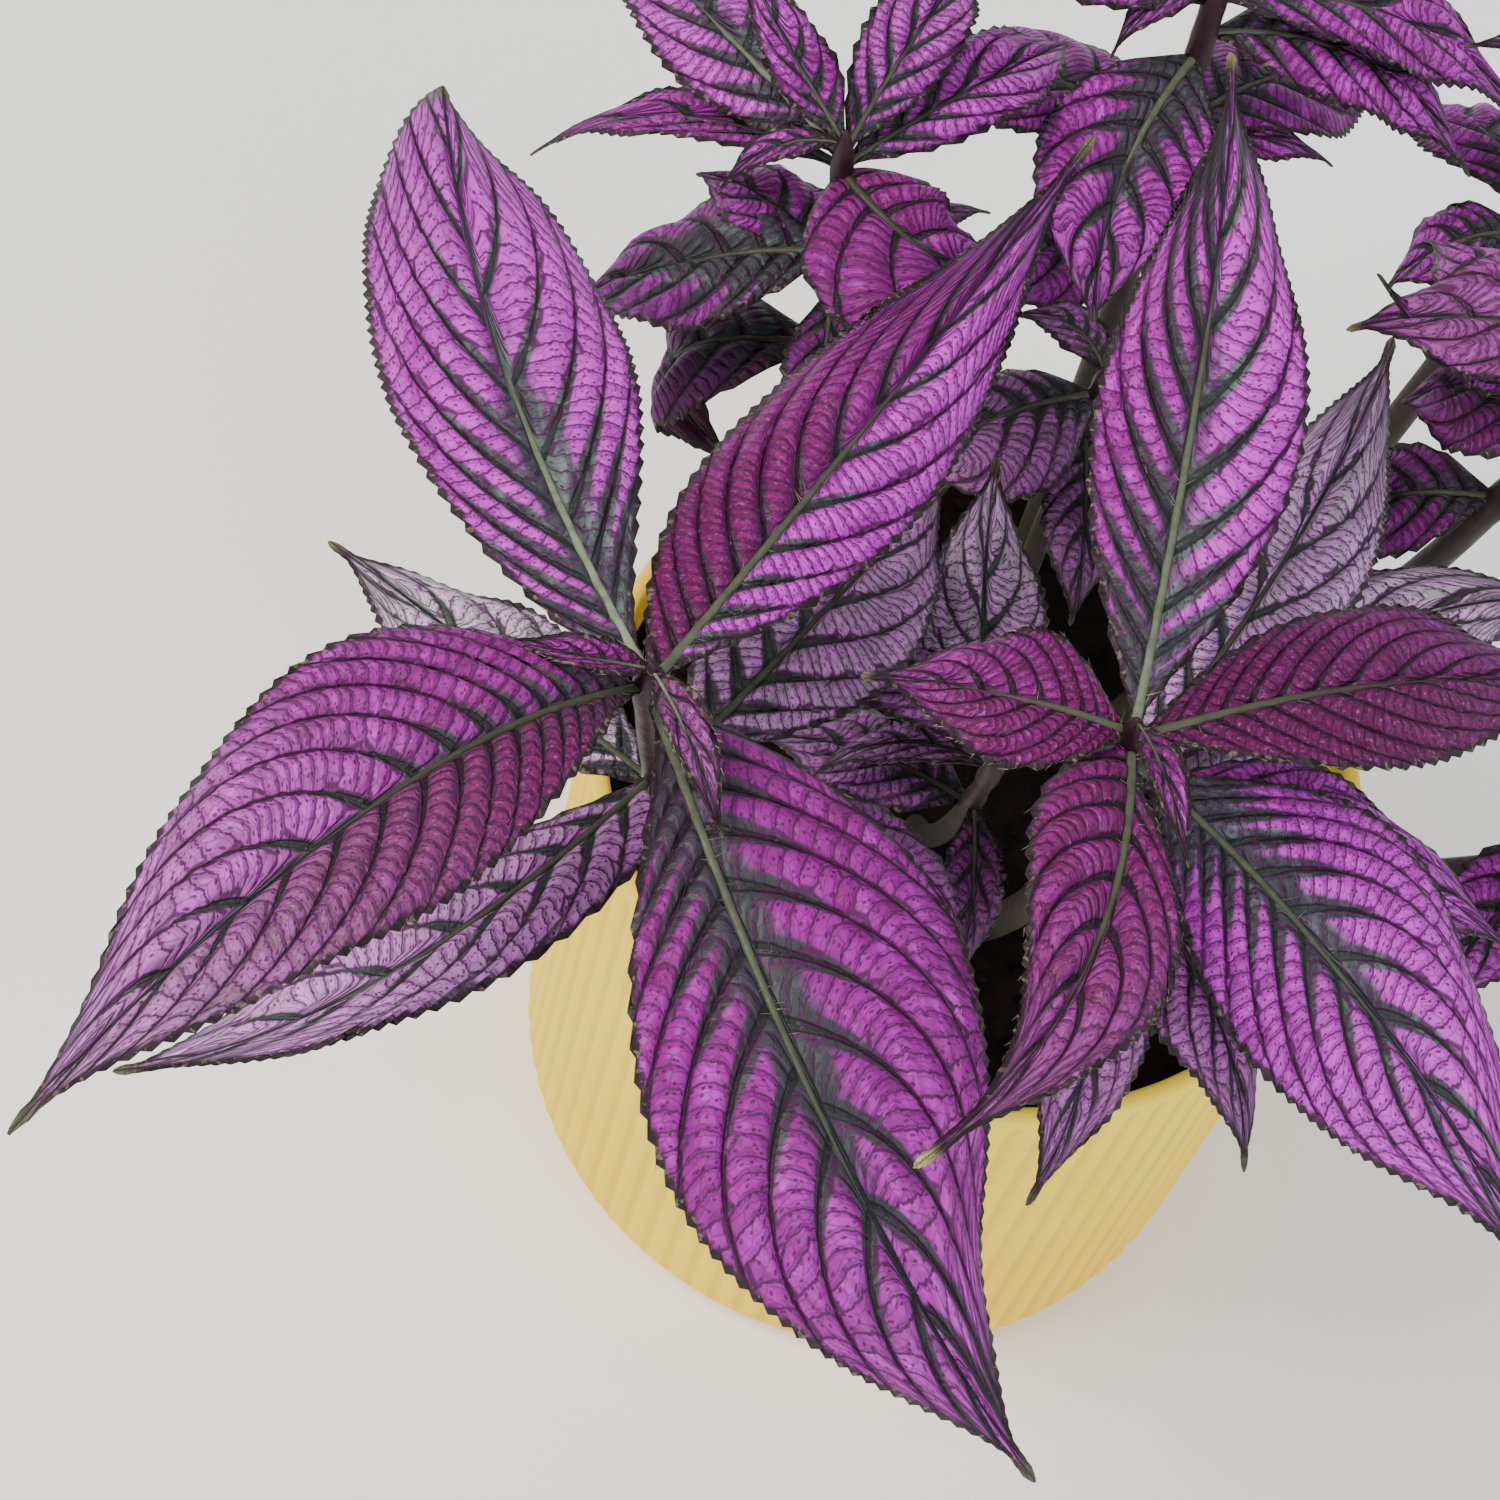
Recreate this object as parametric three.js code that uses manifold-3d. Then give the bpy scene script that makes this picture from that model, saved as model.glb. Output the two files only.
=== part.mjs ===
// Potted Persian shield: a ribbed pot filled with soil, and leafy shoots that lean out over its rim.
// Millimetres, Z up, with the middle of the pot's foot at the origin.
import * as THREE from 'three';
import { mergeVertices } from 'three/addons/utils/BufferGeometryUtils.js';
import Module from 'manifold-3d';

const wasm = await Module();
wasm.setup();

// Pot
const potHeight = 111;
const rimRadius = 66.5;
const footRadius = 64.5;
const footRounding = 9;
const wallThickness = 3;
const floorThickness = 6;
const rimRounding = 1.4;
const ribCount = 80;
const ribDepth = 0.8;
const innerSides = 32;
const drainCount = 4;
const drainRadius = 5;
const drainCircle = 30;

// Soil
const soilTop = 99;
const soilHeave = 2;
const soilRings = 3;
const gap = 0.3;

// Stems
const stemSides = 7;
const stemSteps = 5;
const stemDepth = 8;

// Leaves
const bladeThickness = 0.9;
const stalkThickness = 2.4;
const stalkHalfWidth = 1.2;
const tipHalfWidth = 0.35;
const veinSpacing = 17;
const panelBulge = 1.1;
const acrossDroop = 0.32;
const toothDepth = 0.08;
const veinForward = 0.34;
const midribKeel = 0.5;
const waveHeight = 0.8;

// Each shoot has a curved stem, given by its foot, bend and top, and its leaves.
// A leaf is: height on the stem, turn about Z in degrees, reach, rise, arch, sweep to the left,
// full width, bank and fold in degrees, taper of the tip, where it is widest, and where it bends most.
// Four more numbers give a lopsided leaf: where the left half is widest and how wide, then the right half.
// Two more give the left half and the right half a taper each.
const shoots = {
  front_left: {foot: [-14, -26, 97], bend: [-47, -80, 178], top: [-53, -92, 256], thick: [3.6, 2.0], leaves: {
    a1: [250, 118.8, 125.6, -37.3, 5, 6.5, 35.3, 0, 16, 1.11, 0.44, 0.4, 0.519, 0.971, 0.537, 1.029, 0.769, 1.451],
    a2: [249, 75.2, 134.4, -22.8, 5, -1.811, 27.5, 4, 9, 1.961, 0.36, 0.4, 0.334, 1.056, 0.412, 0.944],
    a3: [248, -123.5, 100.2, -9, 18, -1.697, 38.3, 6, 20, 1.591, 0.39, 0.4, 0.497, 0.859, 0.433, 1.143],
    a4: [246, -40.7, 105.9, -42.5, 15.7, -10.6, 50.9, 0, 13, 1.967, 0.42, 0.57, 0.329, 1.162, 0.46, 0.841],
    a5: [216, -138.7, 78, -38.4, 8.4, 10.6, 20.1, 8, 12, 1.595, 0.44, 0.57, 0.241, 0.901, 0.44, 1.096],
    a6: [204, 150, 70, -22, 4, 2, 22, 0, 14, 1.9, 0.44, 0.48],
    a7: [254, -49, 24, -4, 3, 0, 7, 0, 40, 1.6, 0.4, 0.48],
    a8: [254, -168, 20, 2, 3, 2, 6, 0, 40, 1.6, 0.4, 0.48],
    a9: [212, 72, 82, -22, 8, -2, 28, 0, 14, 1.8, 0.44, 0.48],
    a10: [196, -20, 60, -36, 8, 8, 34, 0, 12, 1.5, 0.42, 0.48]}},
  front_right: {foot: [6, -24, 97], bend: [17, -56, 167], top: [10, -68, 243], thick: [3.0, 1.7], leaves: {
    b1: [239, 96, 124.2, -5.1, 11.7, -0.29, 29.5, 0, 14, 2.5, 0.36, 0.57, 0.327, 0.93, 0.35, 1.07],
    b2: [236, 35, 79, -20, 11, -1, 26, 0, 18, 1.7, 0.42, 0.48],
    b3: [238, 180, 37, -8, 6, 2, 22, 0, 20, 2.1, 0.4, 0.48],
    b4: [235, -99.4, 75.3, 7, 5, 8.1, 24.4, 0, 18, 2.46, 0.36, 0.57, 0.459, 0.913, 0.24, 1.085],
    b5: [230, -21.2, 96.3, -53.1, 5, 2.815, 43.8, 0, 14, 2.354, 0.42, 0.4, 0.443, 1.089, 0.432, 0.913],
    b6: [206, 77, 114, -16, 9, -4, 25, 0, 14, 1.9, 0.44, 0.48],
    b7: [200, -78, 44, -36, 6, 4, 18, 0, 14, 1.7, 0.44, 0.48],
    b8: [242, -57, 22, -1, 3, 0, 6, 0, 36, 1.6, 0.4, 0.48],
    b9: [196, -34, 47, -34, 8, 2, 19, 0, 14, 1.7, 0.44, 0.48],
    b10: [192, 50, 104, -14, 12, 6, 27, 0, 14, 1.7, 0.44, 0.48],
    b11: [212, 10, 66, -22, 9, 0, 24, 0, 14, 1.6, 0.42, 0.48]}},
  middle: {foot: [-7, -8, 97], bend: [-4, -44, 148], top: [-3, -52, 198], thick: [2.2, 1.4], leaves: {
    f1: [188, 105, 51, 8, 3, 2, 20, 0, 18, 1.7, 0.42, 0.48],
    f2: [195, 172, 38, -15, 7, -6, 14, 0, 20, 1.8, 0.42, 0.48],
    f3: [192, -179, 25, -20, 4, -3, 8, 0, 24, 1.7, 0.42, 0.48],
    f4: [176, -70, 20, -22, 5, 0, 10, 0, 16, 1.7, 0.42, 0.48],
    f5: [172, 165, 34, -16, 5, 0, 17, 0, 14, 1.6, 0.42, 0.48]}},
  inner: {foot: [-3, 8, 97], bend: [-5, 14, 149], top: [-4, 22, 197], thick: [2.4, 1.4], leaves: {
    g1: [194, 156, 19, -4, 3, -3, 9, 0, 20, 1.7, 0.42, 0.48],
    g2: [190, -150, 30, -17, 5, 0, 24, 0, 16, 1.6, 0.42, 0.48, 0.42, 1.3, 0.42, 0.7],
    g3: [182, -70, 24, -20, 5, 0, 14, 0, 16, 1.7, 0.42, 0.48],
    g4: [178, 20, 34, -16, 5, 0, 18, 0, 16, 1.7, 0.42, 0.48]}},
  back_left: {foot: [-18, 2, 97], bend: [-44, 14, 157], top: [-53, 15, 238], thick: [2.6, 1.4], leaves: {
    c1: [232, 136, 66, -18, 6, 4, 22, 0, 14, 1.7, 0.42, 0.48],
    c2: [230, 168, 48, -34, 8, -1, 11, 0, 24, 1.9, 0.42, 0.48],
    c3: [235, 138, 31, 8, 3, 2, 11, 0, 28, 1.7, 0.42, 0.48],
    c4: [233, 80, 55, -9, 5, 0, 15, 0, 28, 1.7, 0.42, 0.48],
    c5: [230, 62, 56, -15, 6, -2, 18, 0, 28, 1.5, 0.46, 0.48],
    c6: [235, -149, 18, -9, 3, -2, 6, 0, 28, 1.9, 0.42, 0.48],
    c7: [211, -172, 36, -25, 4, 0, 24, 0, 12, 1.2, 0.46, 0.48],
    c8: [206, 150, 29, -6, 4, -1, 17, 0, 14, 1.4, 0.44, 0.48],
    c9: [229, -4, 29, -9, 4, -7, 25, 4, 14, 1.1, 0.4, 0.48, 0.34, 0.85, 0.42, 1.4],
    c10: [202, 45, 40, -16, 6, -3, 14, 0, 14, 1.6, 0.42, 0.48],
    c11: [204, 62, 42, -18, 4, 2, 9, 0, 14, 1.6, 0.42, 0.48],
    c12: [190, 185, 9, -38, 19, 0, 24, 0, 12, 1.3, 0.44, 0.48],
    c13: [204, -72, 13, -30, 4, 0, 12, 0, 14, 1.6, 0.42, 0.48],
    c14: [142, 172, 26, 8, 3, 4, 12, 0, 14, 1.6, 0.42, 0.48]}},
  back_middle: {foot: [-4, 25, 97], bend: [-3, 55, 167], top: [-8, 61, 245], thick: [3.0, 1.6], leaves: {
    d1: [228, -93, 32, -30, 9, -4, 28, 0, 12, 1.4, 0.44, 0.48],
    d2: [232, 9, 48, -20, 7, 4, 20, 0, 14, 1.5, 0.44, 0.48],
    d3: [241, -138, 16, -10, 3, -2, 6, 0, 20, 1.9, 0.42, 0.48],
    d4: [239, 18, 60, -28, 8, 4, 20, 0, 18, 1.7, 0.42, 0.48],
    d5: [208, 28, 30, -8, 5, 0, 8, 0, 14, 1.7, 0.42, 0.48],
    d6: [190, -162, 24, -14, 5, 2, 23, 0, 12, 1.4, 0.44, 0.48],
    d7: [242, 112, 58, -16, 9, 4, 24, 0, 16, 1.7, 0.42, 0.48],
    d8: [238, 165, 50, -14, 8, 4, 22, 0, 16, 1.7, 0.42, 0.48],
    d9: [212, 60, 58, -38, 9, 0, 26, 0, 12, 1.6, 0.44, 0.48],
    d10: [208, 150, 56, -40, 9, 0, 26, 0, 12, 1.6, 0.44, 0.48]}},
  right: {foot: [14, 8, 97], bend: [58, 21, 153], top: [66, 26, 235], thick: [3.4, 1.8], leaves: {
    e1: [230, 182, 39, -10, 6, -1, 24, 0, 18, 1.7, 0.42, 0.48],
    e2: [222, 178, 37, 10, -6, 0, 10, 0, 24, 1.8, 0.42, 0.48],
    e3: [214, 172, 24, -11, 6, 0, 25, 0, 12, 1.5, 0.44, 0.48],
    e4: [195, -170, 30, -22, 6, 0, 20, 0, 12, 1.5, 0.44, 0.48],
    e5: [214, 124, 46, -14, 8, 0, 22, 0, 12, 1.6, 0.44, 0.48],
    e6: [230, 50, 66, -18, 11, 4, 28, 0, 16, 1.7, 0.42, 0.48],
    e7: [228, -10, 72, -24, 11, -4, 30, 0, 16, 1.7, 0.42, 0.48],
    e8: [210, 10, 60, -38, 8, 0, 26, 0, 12, 1.6, 0.44, 0.48]}},
  far_right: {foot: [17, -8, 97], bend: [76, -24, 153], top: [104, -26, 208], thick: [3.4, 1.8], leaves: {
    h1: [186, -125, 26, -34, 7, -5, 18, 0, 14, 1.7, 0.42, 0.48],
    h2: [205, 150, 38, -6, 6, 0, 18, 0, 18, 1.7, 0.42, 0.48],
    h3: [204, -40, 58, -30, 10, 4, 28, 0, 16, 1.7, 0.42, 0.48],
    h4: [200, 50, 66, -28, 11, -4, 30, 0, 14, 1.7, 0.42, 0.48],
    h5: [206, -100, 52, -28, 9, 0, 24, 0, 16, 1.7, 0.42, 0.48],
    h6: [207, 10, 22, 2, 3, 0, 8, 0, 32, 1.6, 0.42, 0.48],
    h7: [184, -8, 54, -40, 8, 0, 26, 0, 12, 1.6, 0.44, 0.48]}},
  back_right: {foot: [19, 20, 97], bend: [51, 54, 159], top: [58, 86, 226], thick: [3.2, 1.8], leaves: {
    k1: [224, 10, 58, -22, 9, 4, 26, 0, 16, 1.7, 0.42, 0.48],
    k2: [223, 100, 66, -26, 10, -4, 28, 0, 14, 1.7, 0.42, 0.48],
    k3: [225, -160, 28, 5, 4, 0, 10, 0, 26, 1.7, 0.42, 0.48],
    k4: [225, 55, 30, 2, 5, 0, 12, 0, 26, 1.7, 0.42, 0.48],
    k5: [200, 60, 60, -38, 9, 0, 28, 0, 12, 1.6, 0.44, 0.48],
    k6: [200, 115, 46, -34, 8, 0, 22, 0, 12, 1.6, 0.44, 0.48],
    k7: [198, -155, 20, -14, 6, 0, 15, 0, 12, 1.6, 0.44, 0.48]}}
};

const radians = degrees => degrees * Math.PI / 180;

// A closed mesh from points and triangles, as a solid
function solidFrom(points, triangles) {
  const geometry = new THREE.BufferGeometry();
  const numbers = points.flatMap(p => [p.x, p.y, p.z]);
  geometry.setAttribute('position', new THREE.Float32BufferAttribute(numbers, 3));
  geometry.setIndex(triangles.flat());
  return solidOf(geometry);
}

function solidOf(source) {
  const geometry = source.clone();
  geometry.deleteAttribute('normal');
  geometry.deleteAttribute('uv');
  const merged = mergeVertices(geometry, 1e-4);
  return new wasm.Manifold(new wasm.Mesh({
    numProp: 3,
    vertProperties: new Float32Array(merged.attributes.position.array),
    triVerts: new Uint32Array(merged.index.array),
  }));
}

// The largest body of a solid, with sealed hollows and loose scraps left out
function mainBody(solid) {
  const bodies = solid.decompose();
  bodies.sort((a, b) => b.volume() - a.volume());
  return bodies[0].simplify(0.02);
}

function meshOf(solid, name, material) {
  const mesh = solid.getMesh();
  const count = mesh.vertProperties.length / mesh.numProp;
  const positions = new Float32Array(count * 3);
  for (let i = 0; i < count; i++) {
    for (let k = 0; k < 3; k++) positions[i * 3 + k] = mesh.vertProperties[i * mesh.numProp + k];
  }
  const geometry = new THREE.BufferGeometry();
  geometry.setAttribute('position', new THREE.BufferAttribute(positions, 3));
  geometry.setIndex(new THREE.BufferAttribute(new Uint32Array(mesh.triVerts), 1));
  geometry.computeVertexNormals();
  const result = new THREE.Mesh(geometry, material);
  result.name = name;
  return result;
}

// A body of revolution with sides that may be ribbed: rings of points from bottom to top
function ringSolid(rings, sides) {
  const points = [];
  const triangles = [];
  for (const ring of rings) {
    for (let i = 0; i < sides; i++) {
      const angle = i / sides * Math.PI * 2;
      const radius = ring.radius + (i % 2 ? -1 : 0) * (ring.rib || 0);
      points.push(new THREE.Vector3(Math.cos(angle) * radius, Math.sin(angle) * radius, ring.z));
    }
  }
  for (let j = 0; j + 1 < rings.length; j++) {
    for (let i = 0; i < sides; i++) {
      const a = j * sides + i;
      const b = j * sides + (i + 1) % sides;
      triangles.push([a, b, b + sides], [a, b + sides, a + sides]);
    }
  }
  const bottom = points.length;
  points.push(new THREE.Vector3(0, 0, rings[0].z));
  points.push(new THREE.Vector3(0, 0, rings[rings.length - 1].z));
  const last = (rings.length - 1) * sides;
  for (let i = 0; i < sides; i++) {
    const next = (i + 1) % sides;
    triangles.push([bottom, next, i], [bottom + 1, last + i, last + next]);
  }
  return solidFrom(points, triangles);
}

// Radius of the pot's outside at a height
const outerRadius = z => footRadius + (rimRadius - footRadius) * z / potHeight;

function makePot() {
  const outside = ringSolid([
    { z: 0, radius: footRadius - footRounding },
    { z: footRounding * 0.3, radius: outerRadius(0) - footRounding * 0.3 },
    { z: footRounding, radius: outerRadius(footRounding), rib: ribDepth },
    { z: potHeight - rimRounding * 3, radius: outerRadius(potHeight), rib: ribDepth },
    { z: potHeight - rimRounding, radius: outerRadius(potHeight) },
    { z: potHeight, radius: outerRadius(potHeight) - rimRounding },
  ], ribCount * 2);
  const inside = ringSolid([
    { z: floorThickness, radius: outerRadius(floorThickness) - wallThickness },
    { z: potHeight + 1, radius: outerRadius(potHeight + 1) - wallThickness },
  ], innerSides);
  let pot = outside.subtract(inside);
  for (let i = 0; i < drainCount; i++) {
    const angle = (i + 0.5) / drainCount * Math.PI * 2;
    const drain = new THREE.CylinderGeometry(drainRadius, drainRadius, floorThickness * 3, 12);
    drain.rotateX(Math.PI / 2);
    drain.translate(Math.cos(angle) * drainCircle, Math.sin(angle) * drainCircle, 0);
    pot = pot.subtract(solidOf(drain));
  }
  return pot;
}

// Stems
const vector = list => new THREE.Vector3(list[0], list[1], list[2]);

function stemCurve(shoot) {
  return new THREE.QuadraticBezierCurve3(vector(shoot.foot), vector(shoot.bend), vector(shoot.top));
}

function stemPointAt(curve, height) {
  let low = 0;
  let high = 1;
  for (let i = 0; i < 40; i++) {
    const middle = (low + high) / 2;
    if (curve.getPoint(middle).z < height) low = middle;
    else high = middle;
  }
  return curve.getPoint(low);
}

// A stem runs on into the soil below its foot; extra widens and deepens the hole for it
function stemSolid(shoot, extra = 0) {
  const curve = stemCurve(shoot);
  const start = curve.getPoint(0);
  const down = curve.getTangent(0).normalize().multiplyScalar(-1);
  const centres = [start.clone().addScaledVector(down, stemDepth + extra)];
  const widths = [shoot.thick[0] + extra];
  for (let i = 0; i <= stemSteps; i++) {
    const share = i / stemSteps;
    centres.push(curve.getPoint(share));
    widths.push(THREE.MathUtils.lerp(shoot.thick[0], shoot.thick[1], share) + extra);
  }
  const points = [];
  const triangles = [];
  const side = new THREE.Vector3(1, 0, 0);
  for (let j = 0; j < centres.length; j++) {
    const ahead = centres[Math.min(j + 1, centres.length - 1)];
    const along = ahead.clone().sub(centres[Math.max(j - 1, 0)]).normalize();
    const across = new THREE.Vector3().crossVectors(along, side).normalize();
    const other = new THREE.Vector3().crossVectors(across, along).normalize();
    for (let i = 0; i < stemSides; i++) {
      const angle = i / stemSides * Math.PI * 2;
      points.push(centres[j].clone()
        .addScaledVector(other, Math.cos(angle) * widths[j])
        .addScaledVector(across, Math.sin(angle) * widths[j]));
    }
  }
  for (let j = 0; j + 1 < centres.length; j++) {
    for (let i = 0; i < stemSides; i++) {
      const a = j * stemSides + i;
      const b = j * stemSides + (i + 1) % stemSides;
      triangles.push([a, b, b + stemSides], [a, b + stemSides, a + stemSides]);
    }
  }
  const last = (centres.length - 1) * stemSides;
  for (let i = 1; i + 1 < stemSides; i++) {
    triangles.push([0, i + 1, i], [last, last + i, last + i + 1]);
  }
  return solidFrom(points, triangles);
}

function makeSoil() {
  const points = [new THREE.Vector3(0, 0, soilTop)];
  const triangles = [];
  const topRadius = outerRadius(soilTop) - wallThickness - gap;
  const bottomRadius = outerRadius(floorThickness) - wallThickness - gap;
  const flat = Math.cos(Math.PI / innerSides);
  for (let j = 1; j <= soilRings; j++) {
    for (let i = 0; i < innerSides; i++) {
      const angle = i / innerSides * Math.PI * 2;
      const radius = topRadius * flat * j / soilRings;
      const heave = j < soilRings ? soilHeave * Math.sin(3 * angle + 2 * j) * Math.cos(5 * angle - j) : 0;
      points.push(new THREE.Vector3(Math.cos(angle) * radius, Math.sin(angle) * radius, soilTop + heave));
    }
  }
  for (let i = 0; i < innerSides; i++) {
    const angle = i / innerSides * Math.PI * 2;
    points.push(new THREE.Vector3(
      Math.cos(angle) * bottomRadius * flat, Math.sin(angle) * bottomRadius * flat, floorThickness + gap));
  }
  points.push(new THREE.Vector3(0, 0, floorThickness + gap));
  const ring = j => 1 + (j - 1) * innerSides;
  for (let i = 0; i < innerSides; i++) {
    const next = (i + 1) % innerSides;
    triangles.push([0, ring(1) + i, ring(1) + next]);
    for (let j = 1; j <= soilRings; j++) {
      triangles.push([ring(j) + i, ring(j + 1) + i, ring(j + 1) + next]);
      triangles.push([ring(j) + i, ring(j + 1) + next, ring(j) + next]);
    }
    triangles.push([ring(soilRings + 1) + i, points.length - 1, ring(soilRings + 1) + next]);
  }
  let soil = solidFrom(points, triangles);
  for (const shoot of Object.values(shoots)) soil = soil.subtract(stemSolid(shoot, gap + 0.05));
  return mainBody(soil);
}

// Leaves
function halfWidth(share, width, taper, widest) {
  const rise = taper * widest / (1 - widest);
  const blade = width / 2 * (share / widest) ** rise * ((1 - share) / (1 - widest)) ** taper;
  return Math.max(blade, share < 0.5 ? stalkHalfWidth : tipHalfWidth);
}

const forward = share => veinForward * (1 - Math.exp(-share / 0.1)) * (1 - share) ** 0.85;

function leafSolid(curve, leaf, order) {
  const [height, turn, reach, rise, arch, sweep, width, bank, fold, taper, widest, lean] = leaf;
  const sides = leaf.length > 12 ? leaf.slice(12) : [widest, 1, widest, 1];
  const [leftWidest, leftShare, rightWidest, rightShare, leftTaper = taper, rightTaper = taper] = sides;
  const base = stemPointAt(curve, height);
  const angle = radians(turn);
  const chord = new THREE.Vector3(Math.cos(angle) * reach, Math.sin(angle) * reach, rise);
  const along = chord.clone().normalize();
  const left = new THREE.Vector3(-Math.sin(angle), Math.cos(angle), 0);
  const up = new THREE.Vector3().crossVectors(along, left);
  const bend = base.clone().addScaledVector(chord, lean);
  bend.addScaledVector(up, 2 * arch).addScaledVector(left, 2 * sweep);
  const tip = base.clone().add(chord);
  const midrib = new THREE.QuadraticBezierCurve3(base, bend, tip);
  const banked = left.clone().multiplyScalar(Math.cos(radians(bank)));
  banked.addScaledVector(up, Math.sin(radians(bank)));
  const length = chord.length();
  const rows = 2 * Math.max(3, Math.min(8, Math.round(length / veinSpacing)));
  const columns = length < 42 ? 2 : 4;
  const slope = Math.tan(radians(fold));
  const narrowing = Math.cos(radians(fold * 0.8));
  const upper = [];
  const lower = [];
  for (let i = 0; i <= rows; i++) {
    const share = i / rows;
    const crest = i % 2;
    for (let j = 0; j <= columns; j++) {
      const across = j / columns * 2 - 1;
      const part = Math.abs(across);
      const at = Math.min(1, share + forward(share) * part ** 1.9);
      const centre = midrib.getPoint(at);
      const tangent = midrib.getTangent(at).normalize();
      const side = banked.clone().addScaledVector(tangent, -banked.dot(tangent)).normalize();
      const normal = new THREE.Vector3().crossVectors(tangent, side);
      const half = across > 0 ? halfWidth(at, width * leftShare, leftTaper, leftWidest)
        : halfWidth(at, width * rightShare, rightTaper, rightWidest);
      const blade = Math.min(1, half / 8);
      const edge = part > 0.9 && !crest ? 1 - toothDepth * blade : 1;
      let lift = half * (slope * part - acrossDroop * part * part);
      if (crest && part > 0.1 && part < 0.9) lift += panelBulge * blade;
      if (part > 0.9) lift += waveHeight * blade * Math.sin(i * 1.7 + order * 2.3 + across);
      const middle = centre.clone().addScaledVector(side, across * half * narrowing * edge);
      middle.addScaledVector(normal, lift);
      const stalk = Math.max(0, 1 - at / 0.16);
      const thickness = THREE.MathUtils.lerp(bladeThickness, stalkThickness, stalk);
      const keel = part < 0.1 ? midribKeel * (1 - at) * Math.min(1, blade * 2) : 0;
      upper.push(middle.clone().addScaledVector(normal, thickness / 2));
      lower.push(middle.clone().addScaledVector(normal, -thickness / 2 - keel));
    }
  }
  const points = [...upper, ...lower];
  const shift = upper.length;
  const triangles = [];
  const row = columns + 1;
  for (let i = 0; i < rows; i++) {
    for (let j = 0; j < columns; j++) {
      const a = i * row + j;
      const b = a + 1;
      const c = a + row + 1;
      const d = a + row;
      const split = j < columns / 2 ? [[a, d, b], [b, d, c]] : [[a, c, b], [a, d, c]];
      for (const [p, q, r] of split) {
        triangles.push([p, q, r], [p + shift, r + shift, q + shift]);
      }
    }
    const right = i * row;
    const rightNext = right + row;
    const leftEdge = right + columns;
    const leftNext = leftEdge + row;
    triangles.push([rightNext, right, right + shift], [rightNext, right + shift, rightNext + shift]);
    triangles.push([leftEdge, leftNext, leftNext + shift], [leftEdge, leftNext + shift, leftEdge + shift]);
  }
  for (let j = 0; j < columns; j++) {
    const a = j;
    const d = rows * row + j;
    triangles.push([a, a + 1, a + 1 + shift], [a, a + 1 + shift, a + shift]);
    triangles.push([d + 1, d, d + shift], [d + 1, d + shift, d + 1 + shift]);
  }
  return solidFrom(points, triangles);
}

function shootSolid(shoot) {
  const curve = stemCurve(shoot);
  let solid = stemSolid(shoot);
  Object.values(shoot.leaves).forEach((leaf, order) => {
    solid = solid.add(leafSolid(curve, leaf, order));
  });
  return mainBody(solid);
}

const potMaterial = new THREE.MeshStandardMaterial({ color: 0xe6cd85, roughness: 0.75, metalness: 0 });
const soilMaterial = new THREE.MeshStandardMaterial({ color: 0x1b1714, roughness: 1, metalness: 0 });
const leafColors = [0x9c4fa6, 0xa557ae, 0x8a4a93, 0x74407c, 0x94509c, 0x8f4b98, 0x7c4784, 0x864a8e, 0x8d5096];

const plant = new THREE.Group();
plant.add(meshOf(makePot(), 'pot', potMaterial));
plant.add(meshOf(makeSoil(), 'soil', soilMaterial));
Object.entries(shoots).forEach(([name, shoot], index) => {
  const color = leafColors[index];
  const material = new THREE.MeshStandardMaterial({ color, roughness: 0.55, metalness: 0 });
  plant.add(meshOf(shootSolid(shoot), 'shoot_' + name, material));
});

export default plant;
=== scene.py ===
import random
from math import atan2, copysign, cos, exp, hypot, log, pi, radians, sin, sqrt, tan, tau
import bpy
import bmesh
from mathutils import Matrix, Vector, noise


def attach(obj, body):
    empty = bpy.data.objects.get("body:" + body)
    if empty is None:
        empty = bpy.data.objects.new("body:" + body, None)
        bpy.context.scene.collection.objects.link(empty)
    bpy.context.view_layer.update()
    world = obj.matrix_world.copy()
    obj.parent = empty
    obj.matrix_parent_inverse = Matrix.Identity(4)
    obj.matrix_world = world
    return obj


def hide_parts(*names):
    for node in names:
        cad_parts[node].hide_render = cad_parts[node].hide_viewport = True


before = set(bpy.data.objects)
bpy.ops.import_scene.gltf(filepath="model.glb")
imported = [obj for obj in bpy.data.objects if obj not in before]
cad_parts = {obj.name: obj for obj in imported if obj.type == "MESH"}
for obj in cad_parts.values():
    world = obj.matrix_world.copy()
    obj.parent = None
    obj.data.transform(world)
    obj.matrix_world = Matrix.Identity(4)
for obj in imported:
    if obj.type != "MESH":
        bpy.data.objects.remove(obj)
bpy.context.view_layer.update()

# Potted Persian shield: a ribbed pale pot, dark soil and nine leafy shoots.
# Sizes in the dictionaries are millimetres and degrees, colours are 0 to 255.
mm = 0.001
scene = bpy.context.scene


# Camera at the photograph's viewing angle
cameraValues = {
    "place": (-37.5, -372.4, 711.8),
    "tiltDown": 59.1,   # below the horizon
    "roll": 18.7,
    "lens": 100.8,
    "sensor": 36.0,
}


def makeCamera(values):
    data = bpy.data.cameras.new("photoCamera")
    data.lens = values["lens"]
    data.sensor_width = values["sensor"]
    data.clip_start = 0.01
    data.clip_end = 20
    camera = bpy.data.objects.new("photoCamera", data)
    scene.collection.objects.link(camera)
    pitch = Matrix.Rotation(radians(90 - values["tiltDown"]), 4, "X")
    roll = Matrix.Rotation(radians(values["roll"]), 4, "Z")
    place = Matrix.Translation(Vector(values["place"]) * mm)
    camera.matrix_world = place @ pitch @ roll
    scene.camera = camera


makeCamera(cameraValues)
print("camera placed")


# Shader helpers
def paint(red, green, blue):
    def linear(value):
        part = value / 255
        return part / 12.92 if part <= 0.04045 else ((part + 0.055) / 1.055) ** 2.4
    return (linear(red), linear(green), linear(blue), 1.0)


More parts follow.
